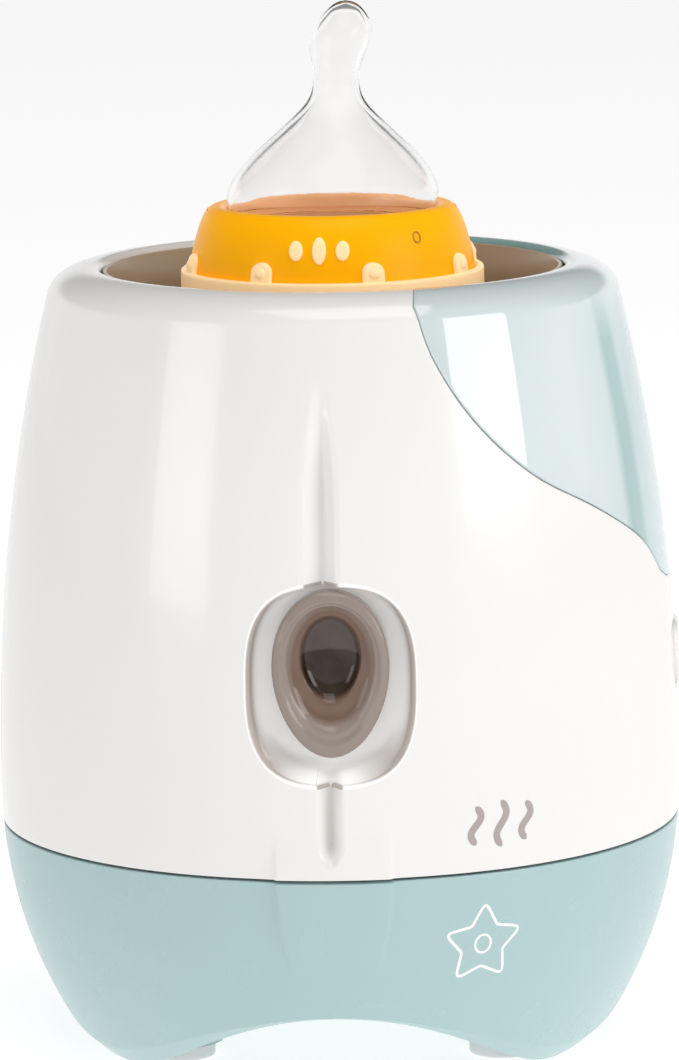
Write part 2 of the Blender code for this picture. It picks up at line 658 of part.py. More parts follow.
def heater_parts():
    part(turned("heating_element", [
        (26, 33.3), (26, 30.7), (25.4, 30.2), (14.6, 30.2), (14, 30.7), (14, 33.3),
    ], MIDDLE_STEPS), "ceramic")
    part(cylinder("thermostat", (0, 0, 29.5), (0, 0, 33.3), 8.5, 24), "steel")
    part(cylinder("thermal_fuse", (-6, 30.5, 31), (6, 30.5, 31), 1.6, 16), "ceramic")
    clamp = part(box("heater_clamp", (-34, -4, 28), (34, 4, 29.2)), "steel")
    for side in (-1, 1):
        near, far = sorted((side * 32.6, side * 34))
        combine(clamp, "UNION", helper(box("clamp_end", (near, -4, 28.5), (far, 4, 33.3))))


def wires():
    """Mains leads from the gland round the chamber to the board, and heater leads through the skirt's notch."""
    for number, (side, colour) in enumerate(((-1, "wire_red"), (1, "wire_blue")), 1):
        drop = 1.3 * side
        round_chamber = [around(azimuth, 48.4, 36 + drop) for azimuth in range(200, 330, 12)]
        wire(f"mains_wire_{number}", [
            (0, 67.0, GLAND_Z + drop), (0, 60.0, GLAND_Z + drop), (-4.5, 52.5, 35.2 + drop), *round_chamber,
            around(338 - 4 * side, 50.0, 42 + drop), (-14 - 1.5 * side, -53.2, 55),
            (-14 - 1.5 * side, -51.4, 63.6),
        ], 0.8, colour, smooth=1)
    for number, side in enumerate((-1, 1), 1):
        across = Vector((math.cos(math.radians(NOTCH_AZIMUTH)), math.sin(math.radians(NOTCH_AZIMUTH)), 0))
        spread = 1.6 * side * across
        wire(f"heater_wire_{number}", [
            around(NOTCH_AZIMUTH, 27.2, 31.8) + spread, around(NOTCH_AZIMUTH, 33.0, 30.0) + spread,
            around(NOTCH_AZIMUTH, 40.0, 28.0) + spread, around(NOTCH_AZIMUTH, 47.0, 28.0) + spread,
            around(NOTCH_AZIMUTH + 3, 52.0, 32.0) + spread, (-12.6 + 1.6 * side, -54.0, 44),
            (-8 + 1.5 * side, -53.6, 55), (-8 + 1.5 * side, -51.4, 63.6),
        ], 0.8, "wire_white", smooth=2)


# ---------------------------------------------------------------- basket, bottle, collar and teat

def lift_basket():
    ring = [(BASKET_RING_R, BASKET_RING_Z), (BASKET_RING_R, 146.6), (BASKET_IN_R, 146.6), (BASKET_IN_R, BASKET_RING_Z)]
    basket = part(turned("lift_basket", ring), "basket_white")
    floor = cylinder("basket_floor", (0, 0, BASKET_FLOOR_Z), (0, 0, BASKET_FLOOR_Z + 2), 36, STEPS)
    combine(basket, "UNION", helper(floor))
    for number in range(6):
        rib = box("rib", (-3.5, -BASKET_OUT_R, BASKET_FLOOR_Z + 1), (3.5, -BASKET_IN_R - 0.3, 148), 30 + 60 * number)
        combine(basket, "UNION", helper(rib))
        low, high = around(60 * number, 20, 35), around(60 * number, 20, 45)
        combine(basket, "DIFFERENCE", helper(cylinder("drain_hole", low, high, 5.5, 16)))


def bottle_body():
    in_r, neck_in_r = BOTTLE_R - BOTTLE_WALL, NECK_R - BOTTLE_WALL
    inside = [
        (0, 43.9), (26.6, 43.9), (28.3, 44.8), (in_r, 47.0), (in_r, 141.5), (28.2, 145.6), (24.8, 150.4),
        (neck_in_r, 154.4), (neck_in_r, MOUTH_Z),
    ]
    outside = [
        (NECK_R, MOUTH_Z), (NECK_R, 155.0), (26.0, 151.4), (29.4, 147.0), (BOTTLE_R, 142.0), (BOTTLE_R, 46.0),
        (29.4, 43.3), (27.0, BOTTLE_LOW_Z), (0, BOTTLE_LOW_Z),
    ]
    part(turned("bottle_body", inside + outside, MIDDLE_STEPS), "bottle_clear")


def collar_outline():
    """The collar's outer face, from its top edge down to the band."""
    return [(24.4, COLLAR_TOP_Z), (25.7, 172.7), (26.5, 171.0), (28.0, 167.0), (29.1, 162.5), (29.4, 159.0)]


def bottle_collar():
    outline = [(COLLAR_LIP_R, COLLAR_TOP_Z)] + collar_outline() + [(29.4, COLLAR_LOW_Z)]
    bore = [(COLLAR_BORE_R, COLLAR_LOW_Z), (COLLAR_BORE_R, COLLAR_LIP_Z), (COLLAR_LIP_R, COLLAR_LIP_Z)]
    part(turned("bottle_collar", outline + bore, MIDDLE_STEPS), "orange")


def collar_band():
    low_r = 29.4 + GAP
    ring = [(BAND_R - 0.6, BAND_TOP_Z), (BAND_R, BAND_TOP_Z - 0.8), (BAND_R, 156.2), (low_r, 156.2), (low_r, BAND_TOP_Z)]
    band = part(turned("collar_band", ring, MIDDLE_STEPS), "orange_pale")
    face = [(28.55, TAB_TOP_Z), (29.1, 162.5), (29.4, 159.0)]
    strip_in = [(r + GAP, z) for r, z in reversed(face)]
    strip = turned("tab_strip", [(r + 1.3, z) for r, z in face] + strip_in, 2 * MIDDLE_STEPS)
    azimuths = [TAB_AZIMUTH + number * 360 / TAB_COUNT for number in range(TAB_COUNT)]
    bars = grouped("tab_bars", [box("tab_bar", (-2.1, -36, 158), (2.1, -20, 170), a) for a in azimuths])
    tabs = combine(helper(strip), "INTERSECT", helper(bars))
    combine(band, "UNION", tabs)


def teat():
    flange = [
        (21.2, TEAT_FLANGE_TOP_Z), (TEAT_FLANGE_R, TEAT_FLANGE_TOP_Z), (TEAT_FLANGE_R, TEAT_FLANGE_Z),
        (19.4, TEAT_FLANGE_Z),
    ]
    outer = list(TEAT_OUTLINE) + flange
    inner = [(19.9, 175.6), (18.8, 178.9)] + [(r - TEAT_WALL, z - 0.5) for r, z in reversed(TEAT_OUTLINE[3:8])]
    part(turned("teat", outer + inner + [(2.8, 212.6), (0, 213.8)], MIDDLE_STEPS), "silicone")


base_shell()
bottom_plate()
foot_pads()
base_screws()
cable_gland()
housing()
side_cover()
release_button()
power_button()
control_board()
on_the_board()
chamber_liner()
chamber_seat()
heater_plate()
heater_parts()
wires()
lift_basket()
bottle_body()
bottle_collar()
collar_band()
teat()
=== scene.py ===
"""Bottle warmer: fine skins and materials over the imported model, with floor, lights and camera.

Sizes are in millimetres until a mesh is made. The front is -Y and azimuths run from it towards +X.
"""
import math

import bmesh
import bpy
import numpy as np
from mathutils import Matrix, Vector


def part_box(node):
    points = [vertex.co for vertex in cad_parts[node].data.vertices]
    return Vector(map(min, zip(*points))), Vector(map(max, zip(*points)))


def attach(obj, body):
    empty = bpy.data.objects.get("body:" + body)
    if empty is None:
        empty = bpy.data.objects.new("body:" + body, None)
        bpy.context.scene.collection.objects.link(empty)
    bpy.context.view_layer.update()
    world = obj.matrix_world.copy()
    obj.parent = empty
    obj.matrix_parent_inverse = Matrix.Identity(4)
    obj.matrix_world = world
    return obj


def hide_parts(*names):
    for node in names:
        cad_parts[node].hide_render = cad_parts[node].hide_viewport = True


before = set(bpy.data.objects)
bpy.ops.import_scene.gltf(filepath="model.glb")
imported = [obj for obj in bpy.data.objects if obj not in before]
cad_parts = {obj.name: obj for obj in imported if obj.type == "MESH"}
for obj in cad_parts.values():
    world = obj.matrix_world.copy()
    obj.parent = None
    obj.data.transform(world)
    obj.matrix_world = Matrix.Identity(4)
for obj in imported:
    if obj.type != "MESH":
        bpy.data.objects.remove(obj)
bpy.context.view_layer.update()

MM = 0.001


def low(node):
    return np.array(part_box(node)[0]) / MM


def high(node):
    return np.array(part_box(node)[1]) / MM


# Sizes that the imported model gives
BELLY_R = high("housing")[0]
RIM_Z = high("housing")[2]
BASE_TOP_Z = high("base_shell")[2] - 1.9  # its tongue stands this far into the housing
HOUSING_LOW_Z = BASE_TOP_Z + 0.5
COVER_TIP_Z = low("side_cover")[2]
LINER_R = high("chamber_liner")[0]
BUTTON_BOX = low("power_button"), high("power_button")
RELEASE_BOX = low("release_button"), high("release_button")
BASKET_BOX = low("lift_basket"), high("lift_basket")
BOTTLE_BOX = low("bottle_body"), high("bottle_body")
COLLAR_BOX = low("bottle_collar"), high("bottle_collar")
BAND_BOX = low("collar_band"), high("collar_band")
TEAT_TOP_Z = high("teat")[2]

# Casing curves, as in the CAD
BELLY_Z = 58.0
SHOULDER_Z = 156.0
MOUTH_R, CREST_R = 47.3, 49.5
WALL = 2.4
ARCH_H, PLATE_Z = 17.0, 22.0
COVER_EDGE = np.array((
    (0, 0), (12, 2), (22, 11), (37, 20), (51, 28), (62, 39), (70, 53), (76, 72), (90, 78),
), float)
COVER_EDGE_X = 17.0
UNROLL_R = 60.0  # radius at which azimuths become millimetres
FAR = 20.0  # stands for any distance too long to matter


# ---------------------------------------------------------------- curves

def smooth_curve(points, per_span=8):
    """Points on a Catmull-Rom curve through the given ones."""
    points = np.asarray(points, float)
    ends = np.vstack([points[:1], points, points[-1:]])
    t = np.arange(per_span)[:, None] / per_span
    spans = []
    for before, start, end, after in zip(ends, ends[1:], ends[2:], ends[3:]):
        spans.append(0.5 * (
            2 * start + (end - before) * t + (2 * before - 5 * start + 4 * end - after) * t ** 2
            + (3 * start - before - 3 * end + after) * t ** 3
        ))
    return np.vstack([*spans, points[-1:]])


def rounded(points, radius, closed=False, per_corner=4):
    """The outline with its corners rounded. The radius is one number or one for each corner."""
    points = np.asarray(points, float)
    count = len(points)
    radii = np.broadcast_to(radius, count)
    out = []
    for i, corner in enumerate(points):
        if not closed and i in (0, count - 1):
            out.append(corner)
            continue
        to_last, to_next = points[i - 1] - corner, points[(i + 1) % count] - corner
        long_last, long_next = np.linalg.norm(to_last), np.linalg.norm(to_next)
        to_last, to_next = to_last / long_last, to_next / long_next
        angle = math.acos(np.clip(to_last @ to_next, -1, 1))
        if angle > math.radians(168) or radii[i] == 0:
            out.append(corner)
            continue
        cut = min(radii[i] / math.tan(angle / 2), 0.48 * long_last, 0.48 * long_next)
        start, end = corner + to_last * cut, corner + to_next * cut
        for t in np.linspace(0, 1, per_corner + 1):
            out.append((1 - t) ** 2 * start + 2 * t * (1 - t) * corner + t * t * end)
    return np.array(out)


def smoothstep(low_edge, high_edge, value):
    t = np.clip((value - low_edge) / (high_edge - low_edge), 0, 1)
    return t * t * (3 - 2 * t)


def casing_r(z):
    z = np.asarray(z, float)
    above = BELLY_R - 11.7 * (np.maximum(z - BELLY_Z, 0) / 98) ** 2.05
    below = BELLY_R - 17.4 * (np.maximum(BELLY_Z - z, 0) / 58) ** 2.31
    return np.where(z > BELLY_Z, above, below)


def around(azimuth, radius, z=0.0):
    turn = np.radians(azimuth)
    return np.stack(np.broadcast_arrays(radius * np.sin(turn), -radius * np.cos(turn), z), axis=-1)


def arc(centre, half, start, end, count):
    """Points of an ellipse's arc, in degrees from its +r side."""
    t = np.radians(np.linspace(start, end, count))
    return np.stack([centre[0] + half[0] * np.cos(t), centre[1] + half[1] * np.sin(t)], axis=1)


def bezier(start, lead, trail, end, count):
    """Points of a cubic curve, without its start."""
    t = np.linspace(0, 1, count + 1)[1:, None]
    return (1 - t) ** 3 * start + 3 * (1 - t) ** 2 * t * lead + 3 * (1 - t) * t ** 2 * trail + t ** 3 * end


def full_turn(count):
    """Angles round a circle."""
    return np.arange(count) * math.tau / count


def upper_path(low_z, end_z, step=0.8):
    """The casing's outer face from low_z over the rim and into the mouth, as (r, z), and its path lengths.
    On the wall the length equals z."""
    wall_z = np.append(np.arange(low_z, SHOULDER_Z - 0.3, step), SHOULDER_Z)
    wall = np.stack([casing_r(wall_z), wall_z], axis=1)
    start, crest = wall[-1], np.array((CREST_R, RIM_Z))
    slope = start - (casing_r(SHOULDER_Z - 1.0), SHOULDER_Z - 1.0)
    meeting = start + slope * (RIM_Z - SHOULDER_Z)
    rim = bezier(start, start + 0.6 * (meeting - start), crest + 0.55 * (meeting - crest), crest, 30)
    edge = arc((CREST_R, RIM_Z - 1.8), (CREST_R - MOUTH_R, 1.8), 90, 180, 14)[1:]
    throat_z = np.linspace(RIM_Z - 1.8, end_z, 8)[1:]
    throat = np.stack([np.full_like(throat_z, MOUTH_R), throat_z], axis=1)
    rest = np.vstack([wall[-1:], rim, edge, throat])
    lengths = SHOULDER_Z + np.cumsum(np.linalg.norm(np.diff(rest, axis=0), axis=1))
    return np.vstack([wall, rest[1:]]), np.append(wall_z, lengths)


# ---------------------------------------------------------------- mesh makers

def new_piece(name, verts, faces, mat, normals=None, sharp=None, recalculate=False):
    mesh = bpy.data.meshes.new(name)
    mesh.from_pydata((np.asarray(verts) * MM).tolist(), [], [list(map(int, face)) for face in faces])
    if recalculate:
        bm = bmesh.new()
        bm.from_mesh(mesh)
        bmesh.ops.recalc_face_normals(bm, faces=bm.faces)
        bm.to_mesh(mesh)
        bm.free()
    mesh.shade_smooth()
    if sharp is not None:
        mesh.set_sharp_from_angle(angle=math.radians(sharp))
    if normals is not None:
        mesh.normals_split_custom_set_from_vertices(np.asarray(normals).tolist())
    mesh.materials.append(mat)
    piece = bpy.data.objects.new(name, mesh)
    bpy.context.scene.collection.objects.link(piece)
    return piece


def placed(piece, body, slot, *replaced):
    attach(piece, body)
    if replaced:
        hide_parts(*replaced)


def grid_normals(points, wrap=True):
    """Unit normals of a (rows, columns, 3) grid whose rows go up and columns towards +azimuth."""
    if wrap:
        across = np.roll(points, -1, axis=1) - np.roll(points, 1, axis=1)
    else:
        across = np.gradient(points, axis=1)
    along = np.gradient(points, axis=0)
    normals = np.cross(across, along)
    return normals / np.maximum(np.linalg.norm(normals, axis=-1, keepdims=True), 1e-9)


def grid_faces(rows, columns, wrap=True):
    i, j = np.meshgrid(np.arange(rows - 1), np.arange(columns if wrap else columns - 1), indexing="ij")
    after = (j + 1) % columns
    return np.stack([i * columns + j, i * columns + after, (i + 1) * columns + after, (i + 1) * columns + j],
                    axis=-1).reshape(-1, 4)


def turned(name, profile, mat, steps=180, closed=False, sharp=40, warp=None):
    """A profile (r, z) turned round Z. Its ends close on the axis where r is 0."""
    profile = np.asarray(profile, float)
    if closed:
        profile = np.vstack([profile, profile[:1]])
    azimuths = np.arange(steps) * 360 / steps
    points = around(azimuths[None, :], profile[:, :1], profile[:, 1:])
    verts = points.reshape(-1, 3)
    faces = grid_faces(len(profile), steps)
    if warp is not None:
        verts = warp(verts)
    piece = new_piece(name, verts, faces, mat)
    bm = bmesh.new()
    bm.from_mesh(piece.data)
    bmesh.ops.remove_doubles(bm, verts=bm.verts, dist=0.000002)
    bmesh.ops.dissolve_degenerate(bm, dist=0.000001, edges=bm.edges)
    bmesh.ops.recalc_face_normals(bm, faces=bm.faces)
    bm.to_mesh(piece.data)
    bm.free()
    piece.data.shade_smooth()
    piece.data.set_sharp_from_angle(angle=math.radians(sharp))
    return piece


def loft(name, rings, mat, sharp=45):
    """A closed skin over rings of points, with its first and last ring filled to their middles."""
    rings = np.asarray(rings, float)
    count, around_count = rings.shape[:2]
    verts = np.vstack([rings.reshape(-1, 3), rings[0].mean(axis=0), rings[-1].mean(axis=0)])
    faces = [list(face) for face in grid_faces(count, around_count)]
    first, last = count * around_count, count * around_count + 1
    for j in range(around_count):
        after = (j + 1) % around_count
        faces.append([first, after, j])
        faces.append([last, (count - 1) * around_count + j, (count - 1) * around_count + after])
    return new_piece(name, verts, faces, mat, sharp=sharp, recalculate=True)


def ring_tube(name, rings, mat):
    """A tube through rings of points, of which the last joins the first."""
    count, across = rings.shape[:2]
    faces = grid_faces(count + 1, across) % (count * across)
    return new_piece(name, rings.reshape(-1, 3), faces, mat, recalculate=True)


def polygon_distance(points, polygon):
    """Signed distance from each point to the polygon, negative inside."""
    nearest = np.full(len(points), np.inf)
    inside = np.zeros(len(points), bool)
    for a, b in zip(polygon, np.roll(polygon, -1, axis=0)):
        side, to_point = b - a, points - a
        share = np.clip(to_point @ side / max(side @ side, 1e-12), 0, 1)
        nearest = np.minimum(nearest, np.linalg.norm(to_point - share[:, None] * side, axis=1))
        crosses = (a[1] > points[:, 1]) != (b[1] > points[:, 1])
        rise = b[1] - a[1] if b[1] != a[1] else 1e-12
        inside ^= crosses & (points[:, 0] < a[0] + (points[:, 1] - a[1]) / rise * side[0])
    return np.where(inside, -nearest, nearest)


def compacted(faces):
    """The vertices that faces use, and each one's new number."""
    used = sorted({spot for face in faces for spot in face})
    return used, {old: new for new, old in enumerate(used)}


def trimmed(points, normals, keep, wrap=True):
    """Cuts a grid where keep falls below 0. Returns vertices, normals, faces and the cut's chains of
    vertices, each in the order that has the kept side on its left."""
    rows, columns = keep.shape
    keep = np.where(keep == 0, 1e-6, keep).ravel()
    verts, norms = list(points.reshape(-1, 3)), list(normals.reshape(-1, 3))
    quads = grid_faces(rows, columns, wrap)
    kept = (keep[quads] > 0).sum(axis=1)
    faces = [list(map(int, quad)) for quad in quads[kept == 4]]
    crossings, following = {}, {}

    def crossing(a, b):
        key = (min(a, b), max(a, b))
        if key not in crossings:
            share = keep[a] / (keep[a] - keep[b])
            crossings[key] = len(verts)
            verts.append(verts[a] + share * (verts[b] - verts[a]))
            blend = norms[a] + share * (norms[b] - norms[a])
            norms.append(blend / np.linalg.norm(blend))
        return crossings[key]

    for quad in quads[(kept > 0) & (kept < 4)]:
        face, leaving, entering = [], [], []
        for a, b in zip(quad, np.roll(quad, -1)):
            if keep[a] > 0:
                face.append(int(a))
            if (keep[a] > 0) != (keep[b] > 0):
                spot = crossing(a, b)
                face.append(spot)
                (leaving if keep[a] > 0 else entering).append(spot)
        faces.append(face)
        if len(leaving) == 1:
            following[leaving[0]] = entering[0]
    chains = []
    starts = [spot for spot in following if spot not in set(following.values())]
    while following:
        spot = starts.pop() if starts else next(iter(following))
        chain = [spot]
        while spot in following:
            spot = following.pop(spot)
            chain.append(spot)
        chains.append(chain)
    used, renumber = compacted(faces)
    return (
        np.array([verts[i] for i in used]), np.array([norms[i] for i in used]),
        [[renumber[i] for i in face] for face in faces],
        [[renumber[i] for i in chain] for chain in chains if len(chain) > 8],
    )


class Skin:
    """A trimmed surface that grows rounded edges and walls from its cut."""

    def __init__(self, points, normals, keep, wrap=True):
        verts, norms, self.faces, self.chains = trimmed(points, normals, keep, wrap)
        self.verts, self.norms = list(verts), list(norms)

    def frame_of(self, chain):
        """Positions, surface normals and outward directions along a chain, and whether it is a ring."""
        ring = chain[0] == chain[-1]
        ids = chain[:-1] if ring else chain
        places = np.array([self.verts[i] for i in ids])
        normals = np.array([self.norms[i] for i in ids])
        loop = np.vstack([places, places, places]) if ring else places
        lengths = np.append(0, np.cumsum(np.linalg.norm(np.diff(loop, axis=0), axis=1)))
        spots = lengths[len(ids):2 * len(ids)] if ring else lengths
        reach = 0.9
        ahead, behind = (
            np.stack([np.interp(spots + sign * reach, lengths, loop[:, k]) for k in range(3)], axis=1)
            for sign in (1, -1)
        )
        out = np.cross(ahead - behind, normals)
        return ids, places, normals, out / np.linalg.norm(out, axis=1, keepdims=True), ring

    def add_rings(self, ids, rings, normals, ring):
        """Joins each new row of points to the row before it."""
        last = list(ids)
        for places, faces_out in zip(rings, normals):
            start = len(self.verts)
            self.verts.extend(places)
            self.norms.extend(faces_out)
            new = list(range(start, start + len(places)))
            for k in range(len(new) if ring else len(new) - 1):
                after = (k + 1) % len(new)
                self.faces.append([last[after], last[k], new[k], new[after]])
            last = new
        return last

    def round_edge(self, chain, radius, steps=4):
        ids, places, normals, out, ring = self.frame_of(chain)
        turns = [math.radians(90 * k / steps) for k in range(1, steps + 1)]
        rings = [places + radius * math.sin(t) * out - radius * (1 - math.cos(t)) * normals for t in turns]
        facing = [math.cos(t) * normals + math.sin(t) * out for t in turns]
        last = self.add_rings(ids, rings, facing, ring)
        return last, rings[-1], normals, out, ring

    def piece(self, name, mat, faces=None):
        """The skin, or these faces of it, without the vertices they don't use."""
        faces = self.faces if faces is None else faces
        used, renumber = compacted(faces)
        faces = [[renumber[i] for i in face] for face in faces]
        return new_piece(name, np.array(self.verts)[used], faces, mat, normals=np.array(self.norms)[used])


# ---------------------------------------------------------------- materials

class Tree:
    """A node tree, with short ways to add to it."""

    def __init__(self, tree):
        self.tree = tree

    def add(self, kind, settings=None, **sources):
        """A shader node with these settings and sources on its inputs."""
        node = self.tree.nodes.new("ShaderNode" + kind)
        for socket, value in (settings or {}).items():
            node.inputs[socket].default_value = value
        for socket, source in sources.items():
            self.tree.links.new(source, node.inputs[socket])
        return node

    def maths(self, kind, operation, *sources):
        """The output of a Math or VectorMath node that works on these outputs."""
        node = self.add(kind)
        node.operation = operation
        for socket, source in zip(node.inputs, sources):
            self.tree.links.new(source, socket)
        return node.outputs["Value"]

    def split(self, vector):
        return self.add("SeparateXYZ", Vector=vector).outputs

    def ranged(self, value, low_out, high_out, low_in=0.3, high_in=0.7):
        limits = {"From Min": low_in, "From Max": high_in, "To Min": low_out, "To Max": high_out}
        return self.add("MapRange", limits, Value=value).outputs["Result"]

    def mixed(self, share, first, second):
        """A blend of two colours, each a tuple or an output."""
        node = self.add("Mix", Factor=share)
        node.data_type = "RGBA"
        for name, colour in (("A", first), ("B", second)):
            socket = next(s for s in node.inputs if s.name == name and s.type == "RGBA")
            if isinstance(colour, tuple):
                socket.default_value = (*colour, 1.0)
            else:
                self.tree.links.new(colour, socket)
        return next(s for s in node.outputs if s.type == "RGBA")


class Look(Tree):
    """A Principled material, with its patterns in the piece's own metres."""

    def __init__(self, name, **settings):
        self.mat = bpy.data.materials.new(name)
        self.mat.use_nodes = True
        super().__init__(self.mat.node_tree)
        self.shader = self.tree.nodes["Principled BSDF"]
        self.where = self.add("TexCoord").outputs["Object"]
        for socket, value in settings.items():
            self.shader.inputs[socket.replace("_", " ")].default_value = value

    def give(self, socket, source):
        self.tree.links.new(source, self.shader.inputs[socket.replace("_", " ")])

    def noise(self, scale, detail=3.0, stretch=None):
        """A noise of this many features per metre. Stretch scales its axes."""
        where = self.where
        if stretch is not None:
            where = self.add("Mapping", {"Scale": stretch}, Vector=where).outputs["Vector"]
        return self.add("TexNoise", {"Scale": scale, "Detail": detail}, Vector=where).outputs["Fac"]

    def bumped(self, height, distance):
        bump = self.add("Bump", {"Distance": distance, "Strength": 1.0}, Height=height)
        self.give("Normal", bump.outputs["Normal"])

    def used(self, roughness, smudge, grain=900.0, grain_depth=0.00001):
        """Handling smudges in the gloss and a fine moulded grain."""
        self.give("Roughness", self.ranged(self.noise(60.0, 4.0), roughness, roughness + smudge))
        self.bumped(self.noise(grain, 2.0), grain_depth)


def shade(colour, factor):
    return tuple(min(1.0, c * factor) for c in colour)


def moulded(name, colour, roughness, variation=0.02, grain=900.0, grain_depth=0.00001, smudge=0.04, **settings):
    """Moulded plastic or rubber: slight colour drift, smudges in its gloss and a fine grain."""
    look = Look(name, **settings)
    drift = look.noise(22.0, 2.0)
    look.give("Base Color", look.mixed(drift, shade(colour, 1 - variation), shade(colour, 1 + variation)))
    look.used(roughness, smudge, grain, grain_depth)
    return look.mat


def metal(name, colour, roughness, stretch):
    """Bare metal with a drawn or turned grain."""
    look = Look(name, Metallic=1.0)
    grain = look.noise(700.0, 3.0, stretch)
    look.give("Base Color", look.mixed(grain, shade(colour, 0.88), shade(colour, 1.06)))
    look.give("Roughness", look.ranged(grain, roughness, roughness + 0.15))
    look.bumped(grain, 0.00003)
    return look.mat


def pocket_painted_shade_material():
    """The casing's plastic with painted shade: the pocket's steep side walls beside the button are painted dark
    taupe, standing in for their shade and their reflection of the button, and the whole pocket has a faint
    painted glow.
    """
    # A faint painted glow, so that the pocket's floor never falls into shade under the button.
    look = Look("pocket_white_painted_shade", Emission_Color=(1.0, 0.98, 0.96, 1.0), Emission_Strength=0.14)
    facing = look.split(look.add("TexCoord").outputs["Normal"])
    # Painted shade and reflection: faces that turn sideways are painted dark taupe.
    wall = look.ranged(look.maths("Math", "ABSOLUTE", facing["X"]), 0.0, 1.0, 0.05, 0.45)
    white = look.mixed(look.noise(22.0, 2.0), (0.90, 0.89, 0.875), (0.92, 0.91, 0.895))
    look.give("Base Color", look.mixed(wall, white, (0.36, 0.30, 0.265)))
    look.used(0.16, 0.04)
    return look.mat


def board_material():
    """Green solder mask with copper tracks showing through as lighter lines."""
    look = Look("board")
    upright = look.add("Mapping", {"Rotation": (math.radians(90), 0, 0)}, Vector=look.where).outputs["Vector"]
    tracks = look.add("TexBrick", {"Scale": 260.0, "Mortar Size": 0.03}, Vector=upright).outputs["Fac"]
    look.give("Base Color", look.mixed(tracks, (0.015, 0.13, 0.05), (0.05, 0.30, 0.13)))
    look.give("Roughness", look.ranged(look.noise(300.0), 0.3, 0.45))
    look.bumped(tracks, 0.00004)
    return look.mat


def cover_material():
    """Cloudy aqua plastic with painted shade: a ramp round its azimuth makes it pale towards its front and back
    ends and deeper towards its middle, with a band of painted shadow between; above the shoulder it is pale all
    round, and its lip inside the mouth is a deeper teal.
    """
    look = Look("cover_aqua", IOR=1.5, Transmission_Weight=0.35, Coat_Weight=0.6, Coat_Roughness=0.02)
    pale, light, middle, deep = (0.86, 0.955, 0.965), (0.80, 0.92, 0.93), (0.66, 0.83, 0.84), (0.44, 0.66, 0.66)
    lip_teal, cloud = (0.24, 0.50, 0.49), (0.90, 0.97, 0.97)
    widest = 60  # degrees from the cover's middle

    place = look.split(look.where)
    turn = look.maths("Math", "ABSOLUTE", look.maths("Math", "ARCTAN2", place["Y"], place["X"]))
    # Painted shade round the cover's azimuth, with the deep stops as a band of painted shadow.
    painted_shade_ramp = look.add("ValToRGB", Fac=look.ranged(turn, 0.0, 1.0, 0.0, math.radians(widest)))
    stops = painted_shade_ramp.color_ramp.elements
    stops[0].color, stops[1].color = (*middle, 1.0), (*pale, 1.0)
    for degrees, colour in ((19, middle), (21.5, deep), (25.5, deep), (28, light), (34, pale)):
        stops.new(degrees / widest).color = (*colour, 1.0)
    # Above the shoulder the painted shade gives way to the pale colour.
    shoulder = look.ranged(place["Z"], 0.0, 1.0, 0.148, 0.160)
    colour = look.mixed(shoulder, painted_shade_ramp.outputs["Color"], pale)

    flat = look.add("VectorMath", Vector=look.where)
    flat.operation = "MULTIPLY"
    flat.inputs[1].default_value = (1.0, 1.0, 0.0)
    from_axis = look.maths("VectorMath", "LENGTH", flat.outputs["Vector"])
    colour = look.mixed(look.ranged(from_axis, 1.0, 0.0, 0.0485, 0.0500), colour, lip_teal)
    drift = look.noise(40.0, 2.0)
    look.give("Base Color", look.mixed(look.ranged(drift, 0.0, 0.1), colour, cloud))
    look.give("Roughness", look.ranged(drift, 0.03, 0.05))
    look.bumped(look.noise(900.0), 0.000005)
    return look.mat


def with_painted_glow(name, colour, strength, roughness, variation, **settings):
    """Bright plastic with an emission that paints light into it, so that it is never dull in shade."""
    return moulded(name, colour, roughness, variation, Emission_Strength=strength, **settings)


WHITE = moulded("white_gloss", (0.835, 0.82, 0.80), 0.16, 0.012, IOR=1.5, Coat_Weight=0.3, Coat_Roughness=0.05)
AQUA = moulded("base_aqua", (0.40, 0.55, 0.56), 0.26, 0.02, IOR=1.5, grain_depth=0.000003, smudge=0.02)
COVER = cover_material()
# This material paints shade on the pocket's walls and a faint glow over the pocket.
POCKET_PAINTED_SHADE = pocket_painted_shade_material()
LINER = moulded("liner_taupe", (0.46, 0.36, 0.25), 0.22, 0.03, IOR=1.5)
BASKET = moulded("basket_white", (0.78, 0.78, 0.75), 0.3, 0.02)
BOTTLE = moulded("bottle_clear", (0.93, 0.95, 0.95), 0.06, 0.01, IOR=1.49, Transmission_Weight=0.95)
# Painted glow: the collar's plastics give off light through their emission.
ORANGE = with_painted_glow("collar_orange", (1.0, 0.44, 0.0), 0.16, 0.3, 0.03, IOR=1.3, Specular_IOR_Level=0.2,
                 Emission_Color=(1.0, 0.44, 0.0, 1.0))
PEACH = with_painted_glow("collar_inside_peach", (0.92, 0.46, 0.20), 0.45, 0.4, 0.03,
                Emission_Color=(0.9, 0.42, 0.18, 1.0))
PALE_ORANGE = with_painted_glow("band_pale", (1.0, 0.70, 0.36), 0.3, 0.3, 0.02, IOR=1.4,
                      Emission_Color=(1.0, 0.68, 0.38, 1.0))
DEEP_ORANGE = moulded("mark_orange", (0.62, 0.27, 0.01), 0.35, 0.03)
SILICONE = moulded("teat_silicone", (0.98, 0.975, 0.972), 0.04, 0.003, IOR=1.18, Transmission_Weight=1.0)
FOOT = moulded("foot_rubber_pale", (0.80, 0.81, 0.81), 0.6, 0.03, 500.0, 0.00006)
RUBBER = moulded("foot_rubber", (0.22, 0.22, 0.23), 0.7, 0.08, 500.0, 0.00006)
BLACK = moulded("black_plastic", (0.03, 0.03, 0.032), 0.38, 0.1)
CERAMIC = moulded("ceramic", (0.78, 0.74, 0.66), 0.6, 0.04, 350.0, 0.00005)
LED = moulded("led", (0.92, 0.92, 0.86), 0.08, 0.01, IOR=1.5)
